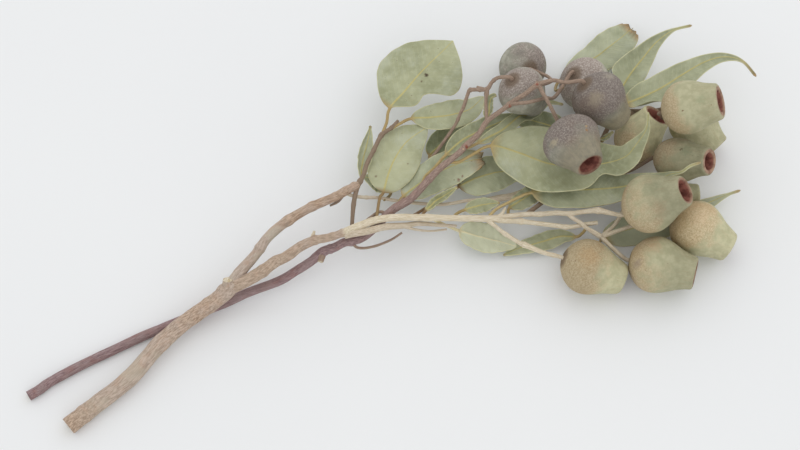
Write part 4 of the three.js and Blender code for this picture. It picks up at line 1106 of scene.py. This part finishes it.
class Paint:
    """Short names for the shader nodes that this lesson uses."""

    def __init__(self, name, roughness, specular=0.3):
        self.material = bpy.data.materials.new(name)
        self.material.use_nodes = True
        self.tree = self.material.node_tree
        self.shader = self.tree.nodes["Principled BSDF"]
        self.shader.inputs["Roughness"].default_value = roughness
        self.shader.inputs["Specular IOR Level"].default_value = specular

    def put(self, socket, value):
        """Feeds a socket from another node, or sets its number or its hex colour."""
        if isinstance(value, bpy.types.NodeSocket):
            self.tree.links.new(value, socket)
        elif isinstance(value, str):
            socket.default_value = colour(value)
        else:
            socket.default_value = value

    def layer(self, name):
        """The two values of a UV layer."""
        made = self.tree.nodes.new("ShaderNodeUVMap")
        made.uv_map = name
        split = self.tree.nodes.new("ShaderNodeSeparateXYZ")
        self.tree.links.new(made.outputs["UV"], split.inputs[0])
        return split.outputs["X"], split.outputs["Y"]

    def vector(self, x, y, z):
        made = self.tree.nodes.new("ShaderNodeCombineXYZ")
        for socket, value in zip(made.inputs, (x, y, z)):
            self.put(socket, value)
        return made.outputs[0]

    def place(self):
        """Where a point is, in metres, in the shared frame."""
        return self.tree.nodes.new("ShaderNodeTexCoord").outputs["Object"]

    def calc(self, kind, a, b=0.0, c=0.0):
        made = self.tree.nodes.new("ShaderNodeMath")
        made.operation = kind
        for socket, value in zip(made.inputs, (a, b, c)):
            self.put(socket, value)
        return made.outputs[0]

    def times(self, a, b):
        return self.calc("MULTIPLY", a, b)

    def scaled(self, value, factor, offset):
        """The value times the factor, and then the offset added."""
        return self.calc("MULTIPLY_ADD", value, factor, offset)

    def span(self, value, low, high, start=0.0, end=1.0):
        """0 below low, 1 above high, smooth between them; start and end rename those ends."""
        made = self.tree.nodes.new("ShaderNodeMapRange")
        made.interpolation_type = "SMOOTHSTEP"
        for name, number in (("Value", value), ("From Min", low), ("From Max", high),
                             ("To Min", start), ("To Max", end)):
            self.put(made.inputs[name], number)
        return made.outputs["Result"]

    def noise(self, vector, scale, detail=3.0, roughness=0.55):
        made = self.tree.nodes.new("ShaderNodeTexNoise")
        for name, value in (("Vector", vector), ("Scale", scale), ("Detail", detail),
                            ("Roughness", roughness)):
            self.put(made.inputs[name], value)
        return made.outputs["Fac"]

    def cells(self, vector, scale):
        made = self.tree.nodes.new("ShaderNodeTexVoronoi")
        self.put(made.inputs["Vector"], vector)
        self.put(made.inputs["Scale"], scale)
        return made.outputs["Distance"]

    def mix(self, share, a, b, blend="MIX"):
        made = self.tree.nodes.new("ShaderNodeMix")
        made.data_type = "RGBA"
        made.blend_type = blend
        for number, value in ((0, share), (6, a), (7, b)):
            self.put(made.inputs[number], value)
        return made.outputs[2]

    def tones(self, value, low, high, dark, light):
        """Dark where the value is below low, and light where it is above high."""
        return self.mix(self.span(value, low, high), dark, light)

    def coat(self, base, tone, value, low, high, start=0.0, end=1.0):
        """A coat of tone on the base, as strong as the span of the value says."""
        return self.mix(self.span(value, low, high, start, end), base, tone)

    def marked(self, base, marks):
        """Small scars and stains, each [x, y, reach, strength, colour] in millimetres from above."""
        split = self.tree.nodes.new("ShaderNodeSeparateXYZ")
        self.put(split.inputs[0], self.place())
        from_above = self.vector(split.outputs["X"], split.outputs["Y"], 0.0)
        ragged = self.noise(self.place(), 650.0, 3.0)
        for x, y, reach, strength, code in marks:
            gap = self.tree.nodes.new("ShaderNodeVectorMath")
            gap.operation = "DISTANCE"
            self.put(gap.inputs[0], from_above)
            gap.inputs[1].default_value = (x * MM, y * MM, 0)
            far = self.scaled(ragged, 1.6 * reach * MM, gap.outputs["Value"])
            base = self.coat(base, code, far, reach * MM, 1.9 * reach * MM, strength, 0.0)
        return base

    def bump(self, height, distance, strength=1.0, under=None):
        made = self.tree.nodes.new("ShaderNodeBump")
        self.put(made.inputs["Strength"], strength)
        self.put(made.inputs["Distance"], distance)
        self.put(made.inputs["Height"], height)
        if under is not None:
            self.put(made.inputs["Normal"], under)
        return made.outputs["Normal"]

    def done(self, base, normal=None):
        self.put(self.shader.inputs["Base Color"], base)
        if normal is not None:
            self.put(self.shader.inputs["Normal"], normal)
        return self.material


print("leaf green as light:", [round(v, 3) for v in colour("#A3AF8B")[:3]])

# %% [markdown]
# ## Bark
# Young gum bark is thin, with a long grain, short grey and rust-brown patches, and fine cracks.
# The grain comes from noise that is stretched along the twig. It reads the "round" layer, which
# closes on itself, so the grain has no seam. The cream fork lost its outer bark, so its tone
# slides toward bare straw-coloured wood. A bark picture wrapped round each twig would be quicker,
# but it would stretch over every knot.

# %% Bark material
# Steps of the noise along a twig for each unit of its "length" layer.
GRAIN_STRETCH = 9.0
BLOTCH_STRETCH = 26.0
CRACK_STRETCH = 12.0
RING_STRETCH = 60.0
# Dark and light of the dark-brown bark: weathered bark, and painted shade on twigs in shadow.
WEATHERED_AND_SHADE_TONES = ("#6E5A4A", "#A08A72")
CUT_WOOD_TONES = ("#C9B591", "#EEE3CD")


def bark(name, tones, rusts, creams, marks):
    """Long-grained bark, rust-brown or mossy in patches, cream or dark brown by its tone; the dark brown is
    weathered bark, and painted shade on twigs in shadow.
    """
    dark, middle, light, patch = tones
    rust_dark, rust_light, moss = rusts
    p = Paint(name, 0.82, 0.25)
    round_x, round_y = p.layer("round")
    length, start = p.layer("length")
    creamy, bare = p.layer("tone")
    rust = p.layer("rust")[0]

    def on_twig(stretch):
        return p.vector(round_x, round_y, p.scaled(length, stretch, start))

    grain = p.noise(on_twig(GRAIN_STRETCH), 12.0, 5.0, 0.62)
    blotches = p.noise(on_twig(BLOTCH_STRETCH), 1.6, 3.0)
    cracks = p.cells(on_twig(CRACK_STRETCH), 9.0)
    rings = p.noise(p.vector(p.times(round_x, 0.3), p.times(round_y, 0.3),
                             p.scaled(length, RING_STRETCH, start)), 3.0, 2.0)
    wide = p.noise(p.place(), 90.0, 3.0)
    tone = p.tones(grain, 0.36, 0.62, dark, middle)
    tone = p.coat(tone, patch, blotches, 0.5, 0.7, 0.0, 0.55)
    tone = p.coat(tone, light, grain, 0.58, 0.72, 0.0, 0.4)
    rusty = p.times(rust, p.span(wide, 0.3, 0.6, 0.25, 0.8))
    tone = p.mix(rusty, tone, p.tones(grain, 0.36, 0.64, rust_dark, rust_light))
    mossy = p.times(p.calc("SUBTRACT", 1.0, rust), p.span(wide, 0.45, 0.62, 0.0, 0.6))
    tone = p.mix(mossy, tone, moss)
    tone = p.coat(tone, dark, rings, 0.62, 0.72, 0.0, 0.35)
    tone = p.coat(tone, p.tones(grain, 0.38, 0.6, *creams), creamy, 0.2, 0.9)
    # The dark brown is weathered bark on some twigs and painted shade on twigs that lie in shadow.
    tone = p.coat(tone, p.mix(grain, *WEATHERED_AND_SHADE_TONES), creamy, -1.0, 0.0, 0.8, 0.0)
    tone = p.marked(tone, marks)
    tone = p.coat(tone, dark, p.noise(p.place(), 900.0, 2.0), 0.66, 0.74, 0.0, 0.5)
    tone = p.mix(bare, tone, p.tones(p.noise(p.place(), 700.0), 0.4, 0.6, *CUT_WOOD_TONES))
    rough = p.bump(grain, 0.0012, 0.6)
    rough = p.bump(cracks, 0.0006, 0.25, rough)
    return p.done(tone, rough)


# Scars and marks are [x, y, reach, strength, colour].
BARK_SCARS = [[54.3, 25.0, 1.3, 0.9, "#8F4B38"], [52.2, 24.4, 0.8, 0.8, "#DDBB98"],
              [85.2, 32.7, 1.1, 0.8, "#98523F"], [103.8, 35.5, 1.2, 0.8, "#98523F"],
              [66.5, 25.5, 1.0, 0.6, "#8F4B38"]]
# Tones are dark, middle, light and patch, rusts are dark, light and moss, creams dark and light.
grey_bark = bark("grey_bark_finish", tones=["#A99788", "#C8B7A9", "#DED4C9", "#C0A28D"],
                 rusts=["#947860", "#CDB096", "#C2B8A6"], creams=["#D0BF9F", "#EADFC9"], marks=[])
purple_bark = bark("purple_bark_finish", tones=["#7E6869", "#A69090", "#C8BCB8", "#98716A"],
                   rusts=["#785150", "#AB807B", "#A08F8C"], creams=["#8C7768", "#B39B88"],
                   marks=BARK_SCARS)
dress(grey_branch, grey_bark)
dress(purple_branch, purple_bark)
print("bark finishes:", grey_bark.name, purple_bark.name)

# %% [markdown]
# ## Nut skins
# A fresh nut has a waxy bloom; a dried one has lost some of it. The pale nuts keep it on the
# neck and show warm tan, finely speckled wood at the stalk end. The grey nuts are smoother, with
# a fine pale frosting over purple-grey. Inside the lip both turn red-brown. The "place" layer
# says how far toward the mouth a point is, so these zones follow the nut whatever way it lies.
# Painted vertex colours could hold the zones too, but not speckles finer than the mesh.

# %% Nut material
# Noise scales, in steps for each metre.
NUT_ZONES = 38.0
NUT_BLOTCHES = 55.0
NUT_MOTTLE = 230.0
NUT_STAINS = 420.0
NUT_GRAIN = 1100.0
NUT_DOTS = 1500.0
# Pairs of tones are dark and light.
LIP_TONES = ("#75503F", "#987561")
PINK_LIP_TONES = ("#98715F", "#BC9A84")
MOUTH_TONES = ("#6E4037", "#9C6556")
DEEP_MOUTH = "#4C2620"
STALK_END = "#6E5B48"
FROST = "#BDB6A9"
NECK_BROWN = "#8A7A58"


def nut_skin(name, blooms, woods, tint, speck, frosted, brown_neck, marks):
    """Woody and dotted toward the stalk, waxy toward the neck, red-brown in the mouth."""
    p = Paint(name, 0.74, 0.28)
    round_x, round_y = p.layer("round")
    share, mouth = p.layer("place")
    tan, seed = p.layer("tone")
    pink = p.layer("rim")[0]
    body_paleness_and_painted_light, neck_paleness_and_painted_light = p.layer("light")
    spot = p.place()
    broad = p.noise(spot, NUT_BLOTCHES, 2.0)
    middle = p.noise(spot, NUT_MOTTLE, 4.0, 0.6)
    fine = p.noise(spot, NUT_GRAIN, 3.0, 0.65)
    streaks = p.noise(p.vector(p.times(round_x, 9.0), p.times(round_y, 9.0),
                               p.calc("ADD", share, seed)), 3.0, 3.0)
    edge = p.calc("ADD", p.times(p.calc("SUBTRACT", broad, 0.5), 1.1), p.scaled(tan, 0.42, 0.22))
    edge = p.scaled(p.calc("SUBTRACT", middle, 0.5), 0.4, edge)
    woody = p.span(p.calc("SUBTRACT", edge, share), -0.16, 0.22, 0.0, 0.92)
    skin = p.mix(woody, p.tones(middle, 0.35, 0.66, *blooms), p.tones(fine, 0.4, 0.62, *woods))
    warm = p.times(p.span(p.noise(spot, NUT_ZONES, 3.0), 0.5, 0.72), p.times(woody, tan))
    skin = p.mix(p.times(warm, 0.85), skin, tint)
    dots = p.span(p.noise(spot, NUT_DOTS, 2.0, 0.5), 0.66, 0.71)
    skin = p.mix(p.times(dots, p.span(woody, 0.1, 0.8, 0.12, 0.75)), skin, speck)
    skin = p.coat(skin, speck, p.noise(spot, NUT_STAINS, 2.0, 0.4), 0.745, 0.775, 0.0, 0.8)
    frost = p.times(p.span(fine, 0.5, 0.66), p.span(middle, 0.4, 0.62, 0.25, 1.0))
    skin = p.mix(p.times(frost, frosted), skin, FROST)
    skin = p.marked(skin, marks)
    browned = p.times(p.span(share, 0.5, 0.8, 0.0, brown_neck), tan)
    skin = p.mix(p.times(browned, p.span(middle, 0.3, 0.6, 0.5, 1.0)), skin, NECK_BROWN)
    veins = p.times(p.span(streaks, 0.52, 0.7, 0.0, 0.4), p.span(share, 0.55, 0.8))
    skin = p.mix(veins, skin, woods[0])
    # The light layer scales the skin: partly each nut's own paleness, partly painted light and painted
    # shade.
    paleness_and_painted_light = p.span(share, 0.4, 0.75, body_paleness_and_painted_light, neck_paleness_and_painted_light)
    skin = p.mix(1.0, skin, p.vector(paleness_and_painted_light, paleness_and_painted_light, paleness_and_painted_light), "MULTIPLY")
    lip = p.mix(pink, p.tones(middle, 0.35, 0.6, *LIP_TONES),
                p.tones(middle, 0.35, 0.6, *PINK_LIP_TONES))
    rim_start = p.scaled(pink, -0.16, 0.2)
    skin = p.coat(skin, lip, mouth, rim_start, p.calc("ADD", rim_start, 0.14), 0.0, 0.9)
    skin = p.coat(skin, p.tones(middle, 0.35, 0.62, *MOUTH_TONES), mouth, 0.42, 0.56)
    skin = p.coat(skin, DEEP_MOUTH, mouth, 0.72, 0.95, 0.0, 0.7)
    skin = p.coat(skin, STALK_END, share, 0.0, 0.035, 0.8, 0.0)
    rough = p.bump(fine, 0.0005, 0.45)
    rough = p.bump(middle, 0.0015, 0.35, rough)
    rough = p.bump(streaks, 0.001, p.span(share, 0.6, 0.85, 0.0, 0.35), rough)
    return p.done(skin, rough)


GREY_MARKS = [[115.0, -5.0, 1.3, 0.9, "#9F774E"], [115.8, -2.8, 1.0, 0.8, "#B59A72"],
             [95.4, -3.3, 2.6, 0.7, "#B3A78C"], [130.9, 13.6, 5.5, 0.6, "#A89C86"],
             [144.7, 23.8, 4.0, 0.5, "#B7AE9C"], [110.9, 69.9, 3.6, 0.6, "#78736A"]]
PALE_MARKS = [[115.6, -78.3, 3.5, 0.45, "#8E7F78"], [91.2, -64.6, 9.0, 0.35, "#B58C58"],
              [135.4, -62.4, 5.0, 0.25, "#B09070"], [128.2, -75.0, 5.5, 0.4, "#BE9F80"],
              [160.7, -69.2, 7.5, 0.3, "#C9AC8B"], [168.9, -31.9, 4.5, 0.5, "#8E9676"],
              [136.1, -47.4, 6.0, 0.35, "#8F9474"], [183.2, -14.5, 4.0, 0.4, "#9EA583"]]
pale_skin = nut_skin("pale_nut_finish", blooms=["#ABA887", "#BCB897"],
                     woods=["#AF9B79", "#C6B595"], tint="#B4946C", speck="#75593F",
                     frosted=0.0, brown_neck=0.0, marks=PALE_MARKS)
grey_skin = nut_skin("grey_nut_finish", blooms=["#89877A", "#A4A294"],
                     woods=["#7C7069", "#9A8F88"], tint="#857468", speck="#5A4A42",
                     frosted=0.3, brown_neck=0.6, marks=GREY_MARKS)
for name, nut in nuts.items():
    dress(nut, grey_skin if "grey" in name else pale_skin)
print("nut finishes:", pale_skin.name, grey_skin.name)

# %% [markdown]
# ## Leaf skin
# Dried gum leaves are sage green with a grey bloom. The rib and the margin stay yellow-cream,
# and fine side veins run from the rim to the rib at a steep slant. Brown marks gather toward the
# tips. The margin line is drawn by true distance in millimetres, so it has the same width on a
# broad leaf and a narrow one. Each leaf could have a painted picture, but nodes that read its
# layers let one finish serve all 24.

# %% Leaf material
# Noise scales, in steps for each metre.
LEAF_BLOTCHES = 42.0
LEAF_STAINS = 95.0
LEAF_MOTTLE = 260.0
LEAF_DOTS = 520.0
LEAF_GRAIN = 1300.0
VEIN_COUNT = 290.0       # how close the side veins are
VEIN_SLANT = 0.85
RIB_WIDTHS = (0.75, 0.25)   # mm, at the base and at the tip
RIM_WIDTHS = (0.35, 0.8)    # mm from the edge, where the rim begins to fade and is gone
# Pairs of tones are dark and light.
GREEN_TONES = ("#868D74", "#B9BEA5")
YELLOW_TONES = ("#888961", "#BDBC92")
RIB_TONES = ("#AC9F5C", "#CFC688")
RIM_TONES = ("#C6C28F", "#DEDBB8")
DRY_TONES = ("#6B4A2C", "#B08A5E")
STALK_TONES = ("#7A5F45", "#B59F6C")
# PAINTED_LIGHT_GREEN is painted light: leaves with a tone above 1, here leaf_12, turn paler where they lie
# in shade.
PAINTED_LIGHT_GREEN = "#D9DBC0"
MOTTLED = "#C2C6A9"
UNDERSIDE = "#B4BBA2"
BLOOM = "#C3C8B8"
VEIN = "#CFCF9E"
STAIN = "#A08A5C"
DOT = "#5B4227"
CREAM_RIB = "#E3DBB4"
CREAM_STALK = "#E3D9B0"
STALK_SHADE = "#8A7148"
LEAF_MARKS = [[52.7, 78.2, 1.5, 0.95, "#4A3B2A"], [48.4, 75.8, 0.9, 0.8, "#5E4C33"],
              [44.7, 13.7, 1.5, 0.8, "#7C4F40"], [47.5, 14.6, 1.0, 0.7, "#7C4F40"],
              [0.1, 34.1, 0.9, 0.7, "#6F5240"], [20.8, 34.1, 0.7, 0.6, "#6F5240"]]


def leaf_skin():
    """Sage green with a pale rib and rim, fine slanting veins, stains and a dry tip."""
    p = Paint("sage_leaf_finish", 0.62, 0.3)
    from_edge, from_rib = p.layer("measure")
    along, across = p.layer("lay")
    light, under = p.layer("tone")
    brown, spots = p.layer("dry")
    stalk, tip = p.layer("stalk")
    warm, cream = p.layer("hue")
    spot = p.place()
    broad = p.noise(spot, LEAF_BLOTCHES, 3.0)
    middle = p.noise(spot, LEAF_MOTTLE, 4.0, 0.6)
    fine = p.noise(spot, LEAF_GRAIN, 2.0)
    shade = p.calc("ADD", p.times(light, 0.8), p.scaled(broad, 1.3, -0.55))
    green = p.tones(shade, 0.0, 1.0, *GREEN_TONES)
    green = p.mix(warm, green, p.tones(shade, 0.0, 1.0, *YELLOW_TONES))
    # Painted light: a tone above 1 makes a shaded leaf paler.
    green = p.coat(green, PAINTED_LIGHT_GREEN, light, 1.0, 2.0, 0.0, 0.9)
    green = p.coat(green, MOTTLED, middle, 0.4, 0.7, 0.0, 0.3)
    green = p.mix(p.times(under, 0.4), green, UNDERSIDE)
    bloom = p.noise(p.vector(along, across, light), 7.0, 4.0, 0.6)
    green = p.coat(green, BLOOM, bloom, 0.48, 0.7, 0.0, 0.35)
    slant = p.scaled(from_rib, -MEASURE * VEIN_SLANT / LAY, along)
    slant = p.scaled(middle, 0.012, slant)
    lines = p.calc("SINE", p.times(slant, VEIN_COUNT))
    veins = p.times(p.span(lines, 0.72, 1.0), p.span(middle, 0.35, 0.6, 0.15, 0.8))
    green = p.mix(p.times(veins, 0.2), green, VEIN)
    stains = p.span(p.noise(spot, LEAF_STAINS, 4.0, 0.6), 0.62, 0.8, 0.0, 0.5)
    green = p.mix(p.times(stains, spots), green, STAIN)
    dots = p.span(p.noise(spot, LEAF_DOTS, 2.0, 0.4), 0.72, 0.76)
    green = p.mix(p.times(dots, p.times(spots, 0.9)), green, DOT)
    rib_width = p.span(tip, 0.0, 1.0, *(width / MEASURE for width in RIB_WIDTHS))
    rib_tone = p.coat(p.mix(middle, *RIB_TONES), CREAM_RIB, cream, 0.6, 1.0)
    green = p.coat(green, rib_tone, p.calc("DIVIDE", from_rib, rib_width), 0.5, 1.1, 0.85, 0.0)
    rim = p.scaled(fine, 0.2 / MEASURE, from_edge)
    rim_low, rim_high = (width / MEASURE for width in RIM_WIDTHS)
    green = p.coat(green, p.mix(middle, *RIM_TONES), rim, rim_low, rim_high, 0.8, 0.0)
    browned = p.times(brown, p.span(middle, 0.25, 0.6, 0.5, 1.0))
    green = p.mix(browned, green, p.tones(middle, 0.35, 0.65, *DRY_TONES))
    green = p.marked(green, LEAF_MARKS)
    woody = p.coat(p.tones(cream, 0.0, 0.5, *STALK_TONES), CREAM_STALK, cream, 0.5, 1.0)
    woody = p.coat(woody, STALK_SHADE, middle, 0.35, 0.65, 0.35, 0.0)
    green = p.mix(stalk, green, woody)
    rough = p.bump(veins, 0.0003, 0.35)
    rough = p.bump(middle, 0.0008, 0.25, rough)
    return p.done(green, rough)


sage_skin = leaf_skin()
for leaf in leaves.values():
    dress(leaf, sage_skin)
print("leaf finish:", sage_skin.name)

# %% [markdown]
# ## Table and light
# The bunch lies on a pale, matt table in soft daylight. One large area light from the upper
# right gives each nut its round shading and a soft shadow toward the lower left, and an even
# pale sky fills the shadows. A sun lamp is simpler, but a wide disk this near wraps its light
# farther round each nut.

# %% Table
TABLE_SIDE = 6.0
TABLE_TONES = ("#EAEBEC", "#F0F1F1")
bpy.ops.mesh.primitive_plane_add(size=TABLE_SIDE, location=(0, 0, 0))
table = bpy.context.object
table.name = "table"
top = Paint("pale_table", 0.9, 0.1)
cloud = top.noise(top.place(), 3.0, 2.0)
dress(table, top.done(top.mix(cloud, *TABLE_TONES)))
print("table:", TABLE_SIDE, "m")

# %% Light
KEY_PLACE = Vector((0.75, 0.75, 1.35))
KEY_COLOUR = (1.0, 0.985, 0.96)
SKY_COLOUR = (0.985, 0.992, 1.0, 1.0)
KEY_SIZE = 2.3
KEY_POWER = 4.4
SKY_STRENGTH = 0.925

key_data = bpy.data.lights.new("window", "AREA")
key_data.shape = "DISK"
key_data.size = KEY_SIZE
key_data.energy = KEY_POWER
key_data.color = KEY_COLOUR
key = bpy.data.objects.new("window", key_data)
bpy.context.scene.collection.objects.link(key)
key.location = KEY_PLACE
key.rotation_euler = KEY_PLACE.to_track_quat("Z", "Y").to_euler()

world = bpy.data.worlds.new("sky")
world.use_nodes = True
sky = world.node_tree.nodes["Background"]
sky.inputs["Color"].default_value = SKY_COLOUR
sky.inputs["Strength"].default_value = SKY_STRENGTH
bpy.context.scene.world = world
bpy.context.scene.view_settings.view_transform = "Standard"
print("light:", KEY_POWER, "W from", tuple(KEY_PLACE))
